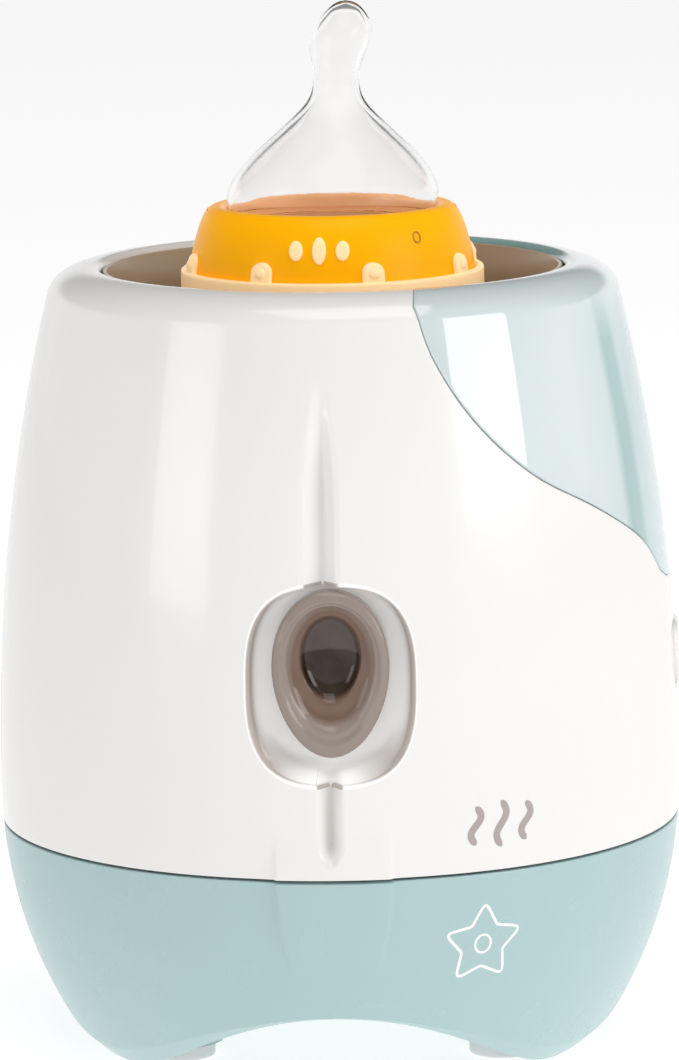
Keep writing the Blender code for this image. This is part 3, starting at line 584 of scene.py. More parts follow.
MARK = moulded("mark_grey", (0.40, 0.35, 0.33), 0.35, 0.04)
LINE_WHITE = moulded("line_white", (0.92, 0.92, 0.91), 0.3, 0.02)
STEEL = metal("steel", (0.62, 0.62, 0.63), 0.25, (1, 1, 8))
ALUMINIUM = metal("aluminium", (0.78, 0.78, 0.79), 0.32, (1, 8, 1))
BOARD = board_material()
RED_WIRE = moulded("lead_red", (0.50, 0.03, 0.02), 0.42, 0.06)
BLUE_WIRE = moulded("lead_blue", (0.02, 0.08, 0.42), 0.42, 0.06)
WHITE_WIRE = moulded("lead_white", (0.78, 0.78, 0.76), 0.42, 0.04)


# ---------------------------------------------------------------- casing: base, housing, cover

def columns(fine=0.3, middle=0.5, coarse=1.0):
    """Azimuths round the casing, closest together at the front."""
    half = np.concatenate([np.arange(0, 18, fine), np.arange(18, 32, middle), np.arange(32, 180, coarse)])
    return np.concatenate([-half[:0:-1], half, [180.0]])


def panel_half_x(z):
    """Half the raised front panel's width."""
    return 11.7 - 2.6 * (np.maximum(46 - z, 0) / 17) ** 1.6


def panel(azimuth, z):
    """How far the raised front panel stands out, with a soft root beside its edge."""
    x = np.abs(casing_r(z) * np.sin(np.radians(azimuth)))
    off = x - panel_half_x(z)
    shape = np.where(off < 0.3, 1 - 0.72 * smoothstep(-0.7, 0.3, off), 0.28 * np.exp(-(off - 0.3) / 1.8))
    rise = smoothstep(26, 38, z) * (1 - smoothstep(48.0, 58.0, z))
    return np.where(np.abs(azimuth) < 90, 1.1 * rise * shape, 0.0)


def groove(azimuth, z, left_x, deep_x, right_x, low_z, high_z, fade_low, fade_high, depth):
    """How deep a finger groove down the front is: a gentle wall on the left, a steep one on the right and a
    low ridge beside that."""
    x = casing_r(z) * np.sin(np.radians(azimuth))
    ends = smoothstep(low_z, low_z + fade_low, z) * (1 - smoothstep(high_z - fade_high, high_z, z))
    width = 0.5 + 0.5 * ends
    left, right = (deep_x - x) / ((deep_x - left_x) * width), (x - deep_x) / ((right_x - deep_x) * width)
    t = np.maximum(left, right)
    shape = np.where(t < 0.9, 1 - 0.95 * (t / 0.9) ** 1.25, 0.05 * np.clip(1 - (t - 0.9) / 0.3, 0, 1))
    ridge = 0.1 * np.exp(-((right - 1.3) / 0.16) ** 2)
    return np.where(np.abs(azimuth) < 90, ends * (depth * shape - ridge), 0.0)


def base_shell():
    seam_r = casing_r(BASE_TOP_Z)
    outer_z = np.arange(4.4, BASE_TOP_Z - 0.6, 0.7)
    lip = rounded([
        (casing_r(PLATE_Z) - WALL, PLATE_Z), (casing_r(7.0) - WALL, 7.0), (50.9, 3.3), (48.6, 2.8),
        (48.6, 0.6), (50.8, 0.6), (52.6, 1.7), (casing_r(4.4), 4.4),
    ], (0, 1, 0.6, 0.5, 0.6, 0.8, 0.9, 0))
    top = rounded([(casing_r(outer_z[-1]), outer_z[-1]), (seam_r, BASE_TOP_Z), (seam_r - 3.5, BASE_TOP_Z),
                   (seam_r - 3.5, 49.0), (seam_r - 6.0, 49.0)], (0, 0.4, 0.3, 0.5, 0))
    path = np.vstack([lip[:-1], np.stack([casing_r(outer_z), outer_z], axis=1), top[1:]])
    azimuth, r, z = columns()[None, :], path[:, :1], path[:, 1:]
    lobes = 0.5 + 0.5 * np.cos(3 * np.radians(azimuth))
    lifted = z + np.where(z < PLATE_Z, ARCH_H * lobes * (1 - z / PLATE_Z), 0)
    radius = r - casing_r(z) + casing_r(lifted)
    face = smoothstep(3.0, 5.0, np.arange(len(path))[:, None] - len(lip)) * (z < 47)
    radius = radius + face * panel(azimuth, lifted)
    points = around(azimuth, radius, lifted)
    normals = grid_normals(points)
    piece = new_piece("base_shell_skin", points.reshape(-1, 3), grid_faces(*points.shape[:2]), AQUA,
                      normals=normals.reshape(-1, 3))
    placed(piece, "casing", "teal_satin", "base_shell")


def cover_outline():
    """The side cover's outline, as (distance round from its middle, path length)."""
    path, lengths = upper_path(COVER_TIP_Z, 140.0)
    edge = smooth_curve(COVER_EDGE, 10)
    by_edge = np.interp(np.minimum(path[:, 1], RIM_Z) - COVER_TIP_Z, edge[:, 1], edge[:, 0])
    crest = np.argmax(path[:, 1])
    by_edge[crest:] = by_edge[crest]
    by_side = 90 - np.degrees(np.arcsin(COVER_EDGE_X / path[:, 0]))
    across = np.radians(np.minimum(by_edge, by_side)) * UNROLL_R
    right = smooth_curve(np.stack([across, lengths], axis=1)[1::3], 4)
    left = right[::-1] * (-1, 1)
    return np.vstack([left, [(0.0, COVER_TIP_Z)], right])


def cover_distance(azimuth, lengths):
    """Distance to the cover's outline over its unrolled surface, negative on the cover."""
    turn = (azimuth - 90 + 180) % 360 - 180
    spots = np.stack(np.broadcast_arrays(np.radians(turn) * UNROLL_R, lengths), axis=-1)
    found = np.full(spots.shape[:2], FAR)
    near = (np.abs(spots[..., 0]) < 92) & (spots[..., 1] > COVER_TIP_Z - 15)
    found[near] = polygon_distance(spots[near], COVER_OUTLINE)
    return found


COVER_OUTLINE = cover_outline()
COVER_WALL = 2.2
POCKET_HALF_W, POCKET_HALF_H, POCKET_Z = 16.35, 19.5, 86.0
POCKET_FLOOR_Y = -61.3
EDGE_R, POCKET_EDGE_R, SLOT_EDGE_R = 0.45, 0.8, 0.35  # of the housing's edges


def superellipse(half_w, half_h, middle_z, power=2.8, count=120):
    c, s = np.cos(full_turn(count)), np.sin(full_turn(count))
    return np.stack([half_w * np.sign(c) * np.abs(c) ** (2 / power),
                     middle_z + half_h * np.sign(s) * np.abs(s) ** (2 / power)], axis=1)


def pocket_distance(points):
    """Distance to the edge of the button's pocket, negative in it."""
    front = np.stack([points[..., 0], points[..., 2]], axis=-1)
    found = np.full(front.shape[:2], FAR)
    near = (np.abs(front[..., 0]) < 26) & (np.abs(front[..., 1] - POCKET_Z) < 30) & (points[..., 1] < 0)
    outline = superellipse(POCKET_HALF_W, POCKET_HALF_H, POCKET_Z)
    found[near] = polygon_distance(front[near], outline) - POCKET_EDGE_R
    return found


def slot_distance(points):
    """Distance to the edge of the release button's slot, negative in it."""
    straight_y, straight_z, corner_r = 7.2, 4.1, 2.7
    middle_z = 0.5 * (RELEASE_BOX[0][2] + RELEASE_BOX[1][2])
    aside, above = np.abs(points[..., 1]), np.abs(points[..., 2] - middle_z)
    over = np.stack([aside - straight_y, above - straight_z], axis=-1)
    found = np.linalg.norm(np.maximum(over, 0), axis=-1) + np.minimum(over.max(axis=-1), 0) - corner_r
    return np.where(points[..., 0] > 30, found - SLOT_EDGE_R, FAR)


def recess_r(z):
    """The wall behind the side cover, which bulges a little."""
    foot_z, top_r, bulge = COVER_TIP_Z - 2, 52.5, 1.2
    foot_r = casing_r(foot_z) - 2.8
    share = (np.asarray(z) - foot_z) / (SHOULDER_Z - foot_z)
    return foot_r + (top_r - foot_r) * share + 4 * bulge * share * (1 - share)


def grow_pocket(skin, chain):
    """The button's pocket: a steep wall above and beside the button, a gentle one below, and a floor."""
    last, places, _, out, ring = skin.round_edge(chain, POCKET_EDGE_R, 5)
    from_middle = places - (0, 0, POCKET_Z)
    height = from_middle[:, 2] / POCKET_HALF_H
    low_share, high_share = smoothstep(0.45, 0.95, -height), smoothstep(0.6, 0.9, height)
    for shrink, steep, gentle in (
        (0.992, 0.30, 0.06), (0.98, 0.55, 0.14), (0.96, 0.74, 0.26), (0.93, 0.87, 0.43), (0.89, 0.95, 0.62),
        (0.84, 0.99, 0.86), (0.79, 1.0, 1.0), (0.70, 1.0, 1.0), (0.45, 1.0, 1.0),
    ):
        depth = steep + (gentle - steep) * low_share + (1 - steep) * 0.85 * high_share
        row = from_middle * (shrink, 1, shrink) + (0, 0, POCKET_Z)
        row[:, 1] = places[:, 1] + (POCKET_FLOOR_Y - places[:, 1]) * depth
        steep_turn = np.interp(steep, (0, 0.5, 0.8, 1.0), (0.15, 0.35, 0.8, 1.0))
        gentle_turn = np.interp(gentle, (0, 0.5, 0.9, 1.0), (0.55, 0.6, 0.75, 1.0))
        to_front = (steep_turn * (1 - low_share) + gentle_turn * low_share)[:, None]
        facing = out * (1 - to_front) + np.array((0, -1, 0)) * to_front
        facing /= np.linalg.norm(facing, axis=1, keepdims=True)
        last = skin.add_rings(last, [row], [facing], ring)


def grow_to_recess(skin, chain):
    """The edge round the side cover's opening, down to the wall behind the cover."""
    last, places, _, out, ring = skin.round_edge(chain, EDGE_R)
    radii, ends_z = np.linalg.norm(places[:, :2], axis=1), np.minimum(places[:, 2], SHOULDER_Z - 0.1)
    ends_r = np.minimum(radii, recess_r(ends_z) - 0.5)
    ends = np.column_stack([places[:, :2] * (ends_r / radii)[:, None], ends_z])
    skin.add_rings(last, [ends], [out], ring)


def housing():
    path, lengths = upper_path(HOUSING_LOW_Z + 0.5, 149.0)
    seam_r = casing_r(HOUSING_LOW_Z)
    foot = rounded([(seam_r - 2.3, 50.0), (seam_r - 2.3, HOUSING_LOW_Z), (seam_r, HOUSING_LOW_Z), path[1]],
                   (0, 0.3, 0.4, 0), per_corner=5)[:-1]
    path = np.vstack([foot, path[1:]])
    lengths = np.append(foot[:, 1], lengths[1:])
    azimuth, r, z = columns()[None, :], path[:, :1], path[:, 1:]
    outer = (np.arange(len(path))[:, None] >= 6).astype(float)
    radius = r + outer * panel(azimuth, z)
    radius = radius - groove(azimuth, z, -5.2, -1.3, 1.5, 99.0, 147.0, 3.0, 26.0, 3.3) * (z < 150)
    radius = radius - groove(azimuth, z, -2.8, -0.3, 1.8, 50.0, 71.0, 4.0, 1.0, 3.8)
    points = around(azimuth, radius, z)
    beside_cover = cover_distance(azimuth, lengths[:, None]) - EDGE_R
    keep = np.minimum(np.minimum(beside_cover, pocket_distance(points)), slot_distance(points))
    skin = Skin(points, grid_normals(points), keep)

    for chain in skin.chains:
        middle = np.mean([skin.verts[i] for i in chain], axis=0)
        if middle[1] < -50:
            first_face = len(skin.faces)
            grow_pocket(skin, chain)
            pocket_faces = skin.faces[first_face:]
            del skin.faces[first_face:]
        elif middle[0] > 60 and abs(middle[1]) < 3 and middle[2] < 90:
            last, places, normals, out, ring = skin.round_edge(chain, SLOT_EDGE_R)
            skin.add_rings(last, [places - 5.0 * normals], [out], ring)
        else:
            grow_to_recess(skin, chain)
    placed(skin.piece("housing_skin", WHITE), "casing", "white_gloss", "housing")
    placed(skin.piece("button_pocket", POCKET_PAINTED_SHADE, pocket_faces), "casing", "white_gloss")


def recess_wall():
    """The wall behind the side cover, with the land on top of it."""
    wall_z = np.linspace(COVER_TIP_Z - 6, SHOULDER_Z - 0.6, 70)
    land = rounded([(recess_r(SHOULDER_Z - 2), SHOULDER_Z - 2), (52.5, SHOULDER_Z), (47.5, SHOULDER_Z)], 0.8)
    path = np.vstack([np.stack([recess_r(wall_z), wall_z], axis=1)[:-2], land])
    lengths = np.append(path[:-len(land), 1], SHOULDER_Z + np.linspace(-2, 5, len(land)))
    turn = np.arange(0, 181, 1.0)
    points = around(turn[None, :], path[:, :1], path[:, 1:])
    keep = 1.6 - cover_distance(turn[None, :], lengths[:, None])
    skin = Skin(points, grid_normals(points, wrap=False), keep, wrap=False)
    placed(skin.piece("recess_wall", WHITE), "casing", "white_gloss")


def cover_inside(outer, path, lengths):
    """The point of the cover's inner face behind each point of its outer face."""
    foot_z, wall_top_z = COVER_TIP_Z - 5, 150
    knots = (foot_z, wall_top_z, SHOULDER_Z, 159.0, 163.0, 166.5, 168.5, lengths[-1])
    wall_r = casing_r(foot_z) - COVER_WALL, casing_r(wall_top_z) - COVER_WALL
    inner_r = (*wall_r, 56.1, 54.4, 51.8, 50.0, 49.6, 49.5)
    inner_z = (foot_z, wall_top_z, 154.8, 157.2, 158.6, 159.0, 158.6, 156.3)
    inside = []
    for place, radius in zip(outer, np.linalg.norm(outer[:, :2], axis=1)):
        nearest = np.argmin((path[:, 0] - radius) ** 2 + (path[:, 1] - place[2]) ** 2)
        if place[2] < wall_top_z and radius > 50:
            r, z = casing_r(place[2]) - COVER_WALL, place[2]
        else:
            r, z = (np.interp(lengths[nearest], knots, values) for values in (inner_r, inner_z))
        inside.append((place[0] / radius * r, place[1] / radius * r, z))
    return np.array(inside)


def border(faces):
    """The chain of vertices round the open edge of these faces."""
    edges = dict.fromkeys(edge for face in faces for edge in zip(face, face[1:] + face[:1]))
    following = {a: b for a, b in edges if (b, a) not in edges}
    chain = [next(iter(following))]
    while following[chain[-1]] != chain[0]:
        chain.append(following[chain[-1]])
    return chain


def side_cover():
    path, lengths = upper_path(COVER_TIP_Z - 1, 156.3, 0.9)
    turn = np.arange(8.0, 172.5, 0.8)
    points = around(turn[None, :], path[:, :1], path[:, 1:])
    edge_r, gap = 0.4, 0.14
    keep = -cover_distance(turn[None, :], lengths[:, None]) - edge_r - gap
    skin = Skin(points, grid_normals(points, wrap=False), keep, wrap=False)
    outer, outer_faces = np.array(skin.verts), list(skin.faces)
    chain = border(outer_faces)
    last = skin.round_edge(chain + chain[:1], edge_r, 3)[0]
    moved = len(skin.verts)
    skin.verts.extend(cover_inside(outer, path, lengths))
    skin.norms.extend(-np.array(skin.norms[:len(outer)]))
    skin.faces.extend([[i + moved for i in face[::-1]] for face in outer_faces])
    for k, spot in enumerate(chain):
        after = (k + 1) % len(chain)
        skin.faces.append([last[after], last[k], spot + moved, chain[after] + moved])
    placed(skin.piece("side_cover_skin", COVER), "side_cover", "aqua_clear", "side_cover")


def release_button():
    low_corner, high_corner = RELEASE_BOX
    middle_z = 0.5 * (low_corner[2] + high_corner[2])
    c, s = np.cos(full_turn(96)), np.sin(full_turn(96))
    outline = superellipse(9.5, 6.4, 0.0, power=4, count=96)

    def row(shrink, below):
        y, z = outline[:, 0] - shrink * c, outline[:, 1] - shrink * s
        face_r = casing_r(middle_z + z) + high_corner[0] - BELLY_R - 0.05 - below
        return np.stack([np.sqrt(face_r ** 2 - y ** 2), y, middle_z + z], axis=1)

    rows = [row(shrink, below) for shrink, below in (
        (0, 4.5), (0, 1.0), (0.1, 0.45), (0.35, 0.15), (0.8, 0.0), (2.0, 0.0), (3.5, 0.15), (4.8, 0.3),
        (5.6, 0.32),
    )]
    placed(loft("release_button_cap", rows, WHITE), "release_button", "white_gloss", "release_button")


# ---------------------------------------------------------------- push button

def button_material():
    """Smoky plastic with a brown dish and a dark bowl in it; the bowl's upper part is paler, a painted
    reflection of the horizon.
    """
    look = Look("button_smoke", IOR=1.4)
    ring, dish = (0.30, 0.245, 0.215), (0.175, 0.105, 0.075)
    bowl, bowl_painted_reflection, dust = (0.022, 0.010, 0.004), (0.085, 0.062, 0.054), (0.42, 0.36, 0.32)

    def outside(middle_z, half_w, half_h, start, end):
        """0 in an upright ellipse on the front and 1 out of it, changing between these shares of its radius."""
        place = {"Location": (0.0, 0.0, -middle_z / half_h), "Scale": (1000 / half_w, 0.0, 1000 / half_h)}
        mapping = look.add("Mapping", place, Vector=look.where)
        return look.ranged(look.maths("VectorMath", "LENGTH", mapping.outputs["Vector"]), 0.0, 1.0, start, end)

    colour = look.mixed(outside(89.7, 8.3, 11.8, 0.92, 1.04), dish, ring)
    # Painted reflection: the bowl is paler above a curved line, as if it mirrored the horizon.
    bowl_with_painted_reflection = look.mixed(outside(73.0, 19.6, 19.6, 0.985, 1.015), bowl, bowl_painted_reflection)
    colour = look.mixed(outside(91.0, 5.9, 8.2, 0.93, 1.06), bowl_with_painted_reflection, colour)
    drift = look.noise(160.0)
    look.give("Base Color", look.mixed(look.ranged(drift, 0.0, 0.06), colour, dust))
    look.give("Roughness", look.ranged(drift, 0.05, 0.09))
    look.bumped(look.noise(500.0), 0.00001)
    return look.mat


def power_button():
    """The stem, the egg-shaped cap with its raised ring, and the dish and bowl in it."""
    low_corner, high_corner = BUTTON_BOX
    front_y, middle_z = low_corner[1], 0.5 * (low_corner[2] + high_corner[2]) + 1.0
    half_w, half_h, taper = 11.65, 16.65, 0.10
    turn = full_turn(128)
    egg = np.stack([half_w * np.cos(turn) * (1 + taper * np.sin(turn)) / 1.01, half_h * np.sin(turn)], axis=1)
    rows = []
    for scale, raised, behind in (
        (0.24, -1.0, 12.3), (0.24, -1.0, 4.8), (0.985, 0.0, 4.4), (1.0, 0.0, 4.2), (1.0, 0.0, 1.6),
        (0.99, 0.0, 0.9), (0.965, 0.0, 0.45), (0.935, 0.05, 0.3), (0.905, 0.1, 0.18), (0.88, 0.2, 0.0),
        (0.855, 0.3, 0.08), (0.83, 0.5, 0.5), (0.81, 0.7, 0.65), (0.785, 0.9, 0.6), (0.76, 1.1, 0.8),
        (0.73, 1.4, 1.4), (0.69, 1.7, 1.95), (0.63, 2.1, 2.35), (0.57, 2.5, 2.55), (0.535, 2.7, 2.6),
        (0.515, 2.85, 2.85), (0.49, 2.95, 3.5), (0.45, 3.0, 4.1), (0.38, 3.0, 4.6), (0.28, 3.0, 4.9),
        (0.15, 3.0, 5.05), (0.03, 3.0, 5.1),
    ):
        x, z = (egg * scale).T
        rows.append(np.stack([x, np.full(len(egg), front_y + behind), middle_z + raised + z], axis=1))
    cap = loft("power_button_cap", rows, button_material(), sharp=60)
    placed(cap, "power_button", "taupe_clear", "power_button")


# ---------------------------------------------------------------- chamber, basket and bottle

def chamber():
    top_z = RIM_Z - 0.9
    profile = rounded([
        (LINER_R, 24.9), (LINER_R, 155.7), (46.95, 157.0), (46.95, top_z), (46.2, top_z), (45.3, 156.6),
        (45.0, 154.0), (45.0, 40.6), (44.0, 39.6), (36.0, 39.6), (36.0, 38.0), (45.0, 38.0), (45.0, 24.9),
    ], (0.3, 0, 0, 0.3, 0.3, 2, 3, 1, 1, 0.3, 0.3, 0.3, 0.3), closed=True)
    placed(turned("chamber_skin", profile, LINER, 200, closed=True), "casing", "taupe_liner", "chamber_liner",
           "chamber_seat")


def basket():
    low_corner, high_corner = BASKET_BOX
    floor_z, ring_z, ring_r = low_corner[2], high_corner[2], high_corner[0]
    ring = rounded([(ring_r, ring_z - 2.6), (ring_r, ring_z), (31.8, ring_z), (31.8, ring_z - 2.6)], 0.7,
                   closed=True)
    placed(turned("basket_ring", ring, BASKET, closed=True), "basket", "basket_white", "lift_basket")
    disc = rounded([(0, floor_z + 2), (36, floor_z + 2), (36, floor_z), (0, floor_z)], 0.6)
    floor = turned("basket_floor", disc, BASKET)
    for k in range(6):
        drill = turned("drill", [(0, -6), (5.5, -6), (5.5, 6), (0, 6)], BASKET, 40)
        drill.location = Vector(around(60.0 * k, 20.0, floor_z + 1)) * MM
        cut = floor.modifiers.new("Hole", "BOOLEAN")
        cut.operation, cut.object, cut.solver = "DIFFERENCE", drill, "EXACT"
        bpy.context.view_layer.update()
        mesh = bpy.data.meshes.new_from_object(floor.evaluated_get(bpy.context.evaluated_depsgraph_get()))
        floor.modifiers.clear()
        floor.data = mesh
        bpy.data.objects.remove(drill)
    floor.data.set_sharp_from_angle(angle=math.radians(35))
    placed(floor, "basket", "basket_white")
    outline = rounded([(-3.5, -33.9), (3.5, -33.9), (3.5, -32.1), (-3.5, -32.1)], 0.5, closed=True)
    heights = (floor_z + 1, 60, 90, 120, ring_z - 2)
    rows = np.array([np.column_stack([outline, np.full(len(outline), z)]) for z in heights])
    for k in range(6):
        rotate = np.array(Matrix.Rotation(math.radians(30 + 60 * k), 3, "Z"))
        placed(loft(f"basket_rib_{k + 1}", rows @ rotate.T, BASKET), "basket", "basket_white")


def bottle():
    low_corner, high_corner = BOTTLE_BOX
    outer_r, low_z, top_z = high_corner[0], low_corner[2], high_corner[2]
    profile = rounded([
        (0, 43.9), (26.6, 43.9), (28.4, 45.0), (outer_r - 1.5, 47.2), (outer_r - 1.5, 141.5), (28.2, 145.6),
        (24.8, 150.4), (22.2, 154.4), (22.2, top_z), (23.7, top_z), (23.7, 155.0), (26.0, 151.4),
        (29.4, 147.0), (outer_r, 142.0), (outer_r, 46.0), (29.4, 43.3), (27.0, low_z), (0, low_z),
    ], (0, 1.5, 2, 3, 5, 5, 4, 3, 0.4, 0.4, 3, 4, 5, 5, 3, 3, 1.5, 0), per_corner=5)
    placed(turned("bottle_skin", profile, BOTTLE, 160), "bottle", "bottle_clear", "bottle_body")


def collar_r(z):
    """The collar's outer face."""
    spots = COLLAR_FACE[::-1]
    return np.interp(z, spots[:, 1], spots[:, 0])


COLLAR_FACE = smooth_curve([
    (25.2, 173.0), (26.1, 171.6), (26.9, 169.8), (27.7, 167.4), (28.7, 163.6), (29.2, 160.4), (29.4, 156.5),
])


def on_collar(azimuth, along, z, proud):
    """A point this far round from an azimuth, in mm, on the collar's face."""
    radius = collar_r(z)
    return around(azimuth + np.degrees(along / radius), radius + proud, z)


def collar():
    top_z, low_z = COLLAR_BOX[1][2], COLLAR_BOX[0][2]
    top = arc((23.6, top_z - 1.6), (1.9, 1.6), 20, 90, 7)[::-1]
    lip_z = top_z - 1.9
    inner = rounded([
        (22.9, top_z), (21.6, top_z - 0.4), (21.6, lip_z), (24.4, lip_z), (24.4, low_z), (29.4, low_z),
    ], (0, 0.5, 0.2, 0.3, 0.3, 0.3))
    outer = np.vstack([inner[:1], top, COLLAR_FACE[3:], inner[-3:]])
    placed(turned("collar_skin", outer, ORANGE, sharp=60), "collar", "orange", "bottle_collar")
    placed(turned("collar_inside", inner[:-2], PEACH, sharp=60), "collar", "orange")


def collar_ring_mark():
    """A small raised ring, as a generic mark."""
    azimuth, middle_z, half_w, half_h, line_r = 40.0, 168.7, 0.85, 1.05, 0.2
    turn = full_turn(40)
    rows = np.stack([
        on_collar(azimuth, (half_w + line_r * math.cos(t)) * np.cos(turn),
                  middle_z + (half_h + line_r * math.cos(t)) * np.sin(turn), 0.22 * math.sin(t) + 0.03)
        for t in full_turn(8)
    ], axis=1)
    placed(ring_tube("collar_ring_mark", rows, DEEP_ORANGE), "collar", "orange")


def band_tab(name, azimuth):
    """An arched tab of the band, with a rounded edge."""
    half_w, foot_z, side_z, arch_z, arch_h = 2.25, 159.6, 161.0, 162.4, 2.1
    arch = np.radians(np.linspace(0, 180, 17))
    outline = np.vstack([
        [(-half_w, foot_z), (0, foot_z), (half_w, foot_z), (half_w, side_z)],
        np.stack([half_w * np.cos(arch), arch_z + arch_h * np.sin(arch)], axis=1), [(-half_w, side_z)],
    ])
    middle = np.array((0, 162.0))
    rows = []
    for shrink, proud in ((1.0, 0.25), (1.0, 0.75), (0.95, 1.05), (0.86, 1.2), (0.6, 1.22), (0.2, 1.22)):
        along, z = (middle + (outline - middle) * shrink).T
        rows.append(on_collar(azimuth, along, z, proud))
    placed(loft(name, rows, PALE_ORANGE), "collar", "orange_pale")


def dome(name, azimuth, middle, half, levels, count):
    """A pale knob on the collar. Each level is a share of its half width and height, and how far it is out."""
    turn = full_turn(count)
    rows = [
        on_collar(azimuth, middle[0] + size * half[0] * np.cos(turn), middle[1] + size * half[1] * np.sin(turn),
                  proud) for size, proud in levels
    ]
    placed(loft(name, rows, PALE_ORANGE, sharp=80), "collar", "orange_pale")


def band():
    ring_r, low_z, top_z, inner_r = BAND_BOX[1][0], BAND_BOX[0][2], 160.6, 29.65
    ring = rounded([(ring_r, low_z), (ring_r, top_z), (inner_r, top_z), (inner_r, low_z)],
                   (0.3, 0.8, 0.1, 0.1), closed=True)
    placed(turned("band_ring", ring, PALE_ORANGE, closed=True), "collar", "orange_pale", "collar_band")
    nub = (1.2, 1.15), (1.12, 1.35), (0.92, 1.55), (0.65, 1.7), (0.3, 1.78), (0.08, 1.8)
    for k in range(8):
        azimuth = 17.5 + 45 * k
        band_tab(f"band_tab_{k + 1}", azimuth)
        dome(f"band_nub_{k + 1}", azimuth, (0.0, 162.3), (1.0, 1.0), nub, 20)
    bead = (1.0, 0.0), (0.98, 0.28), (0.86, 0.42), (0.5, 0.5), (0.1, 0.5)
    for k, (along, half_h) in enumerate(((-4.7, 2.0), (0.0, 2.7), (4.7, 2.0))):
        dome(f"collar_bead_{k + 1}", -4.0, (along, 166.9), (1.4, half_h), bead, 28)


def teat():
    top_z = TEAT_TOP_Z - 1.2
    outline = smooth_curve([
        (0.0, top_z), (1.5, top_z - 0.3), (3.0, 213.6), (4.7, 211.6), (5.9, 209.4), (6.2, 207.2),
        (5.9, 205.0), (5.2, 202.6), (4.75, 199.6), (4.9, 196.8), (6.0, 194.3), (8.2, 191.7), (12.3, 187.8),
        (16.9, 183.5), (20.2, 179.3), (21.5, 176.4), (21.5, 174.6), (21.3, 173.2),
    ], 5)
    inner = smooth_curve([
        (20.4, 173.2), (20.5, 174.6), (20.3, 176.2), (19.0, 178.8), (15.8, 182.6), (11.4, 186.7),
        (7.4, 190.4), (5.1, 193.4), (4.0, 196.4), (3.8, 199.6), (4.2, 202.6), (4.9, 205.2), (5.2, 207.2),
        (4.9, 209.2), (3.7, 211.3), (2.2, 212.9), (0.0, 213.7),
    ], 5)
    flange_low, flange_top = low("teat")[2], low("teat")[2] + 1.4
    flange = rounded([(21.2, flange_top + 0.6), (21.2, flange_top), (24.0, flange_top), (24.0, flange_low),
                      (20.2, flange_low), (20.3, flange_top + 0.6)], 0.3)
    lean = smooth_curve([(172, 0), (178, 0.5), (186, 1.0), (194, 1.3), (200, 1.4), (205, 1.9), (209, 2.8),
                         (212.4, 3.4), (214.8, 3.5)], 6)

    def leaning(verts):
        moved = np.array(verts)
        moved[:, 0] += np.interp(moved[:, 2], lean[:, 0], lean[:, 1])
        return moved

    profile = np.vstack([outline, flange, inner])
    placed(turned("teat_skin", profile, SILICONE, 140, sharp=70, warp=leaning), "teat", "silicone", "teat")


# ---------------------------------------------------------------- feet, gland and marks

def small_parts():
    profile = rounded([(0, 6.0), (2.4, 6.0), (2.4, 3.0), (6.8, 3.0), (6.8, 0.0), (0, 0.0)],
                      (0, 0.3, 0, 0.4, 0.8, 0))
    for k in (1, 2, 3):
        node = f"foot_pad_{k}"
        middle = 0.5 * (low(node) + high(node))
        pad = turned(f"foot_pad_skin_{k}", profile, FOOT, 64)
        pad.location = Vector((middle[0], middle[1], 0)) * MM
        placed(pad, "casing", "rubber_grey", node)
    corner, far = low("cable_gland"), high("cable_gland")
    profile = rounded([(2.7, 0), (6.2, 0), (6.2, 2.0), (4.6, 2.0), (4.6, 9.8), (2.7, 9.8)],
                      (0.2, 0.4, 0.2, 0.2, 0.5, 0.4), closed=True)
    gland = turned("gland_skin", profile, RUBBER, 64, closed=True)
    gland.rotation_euler.x = math.radians(-90)
    gland.location = Vector((0.5 * (corner[0] + far[0]), corner[1], 0.5 * (corner[2] + far[2]))) * MM
    placed(gland, "casing", "rubber_grey", "cable_gland")


STEAM_AT = 28.2, 57.0  # azimuth and z
STAR_AT = 25.6, 32.5
INK_HEIGHT = 0.08


def stroke(name, path, middle, half_w, mat, closed=False):
    """A line of ink with rounded edges along a path (across, up) round a place on the casing's face."""
    azimuth, middle_z = middle
    path = np.asarray(path, float)
    if closed:
        ahead, behind = np.roll(path, -1, axis=0), np.roll(path, 1, axis=0)
    else:
        ahead, behind = np.vstack([path[1:], path[-1:]]), np.vstack([path[:1], path[:-1]])
    along = ahead - behind
    along /= np.linalg.norm(along, axis=1, keepdims=True)
    aside = np.stack([along[:, 1], -along[:, 0]], axis=1)
    rows = []
    widths = np.full(len(path), half_w)
    if not closed:
        from_end = np.minimum(np.arange(len(path)), np.arange(len(path))[::-1])
        widths = half_w * np.sqrt(np.clip((from_end + 0.15) / 2.5, 0.0, 1.0))
    for turn in np.radians(np.arange(0, 360, 45)):
        spot = path + aside * (widths * math.cos(turn))[:, None]
        z = middle_z + spot[:, 1]
        radius = casing_r(z) + INK_HEIGHT * math.sin(turn) + 0.02
        rows.append(around(azimuth + np.degrees(spot[:, 0] / casing_r(z)), radius, z))
    rings = np.stack(rows, axis=1)
    if not closed:
        return loft(name, rings, mat, sharp=80)
    return ring_tube(name, rings, mat)


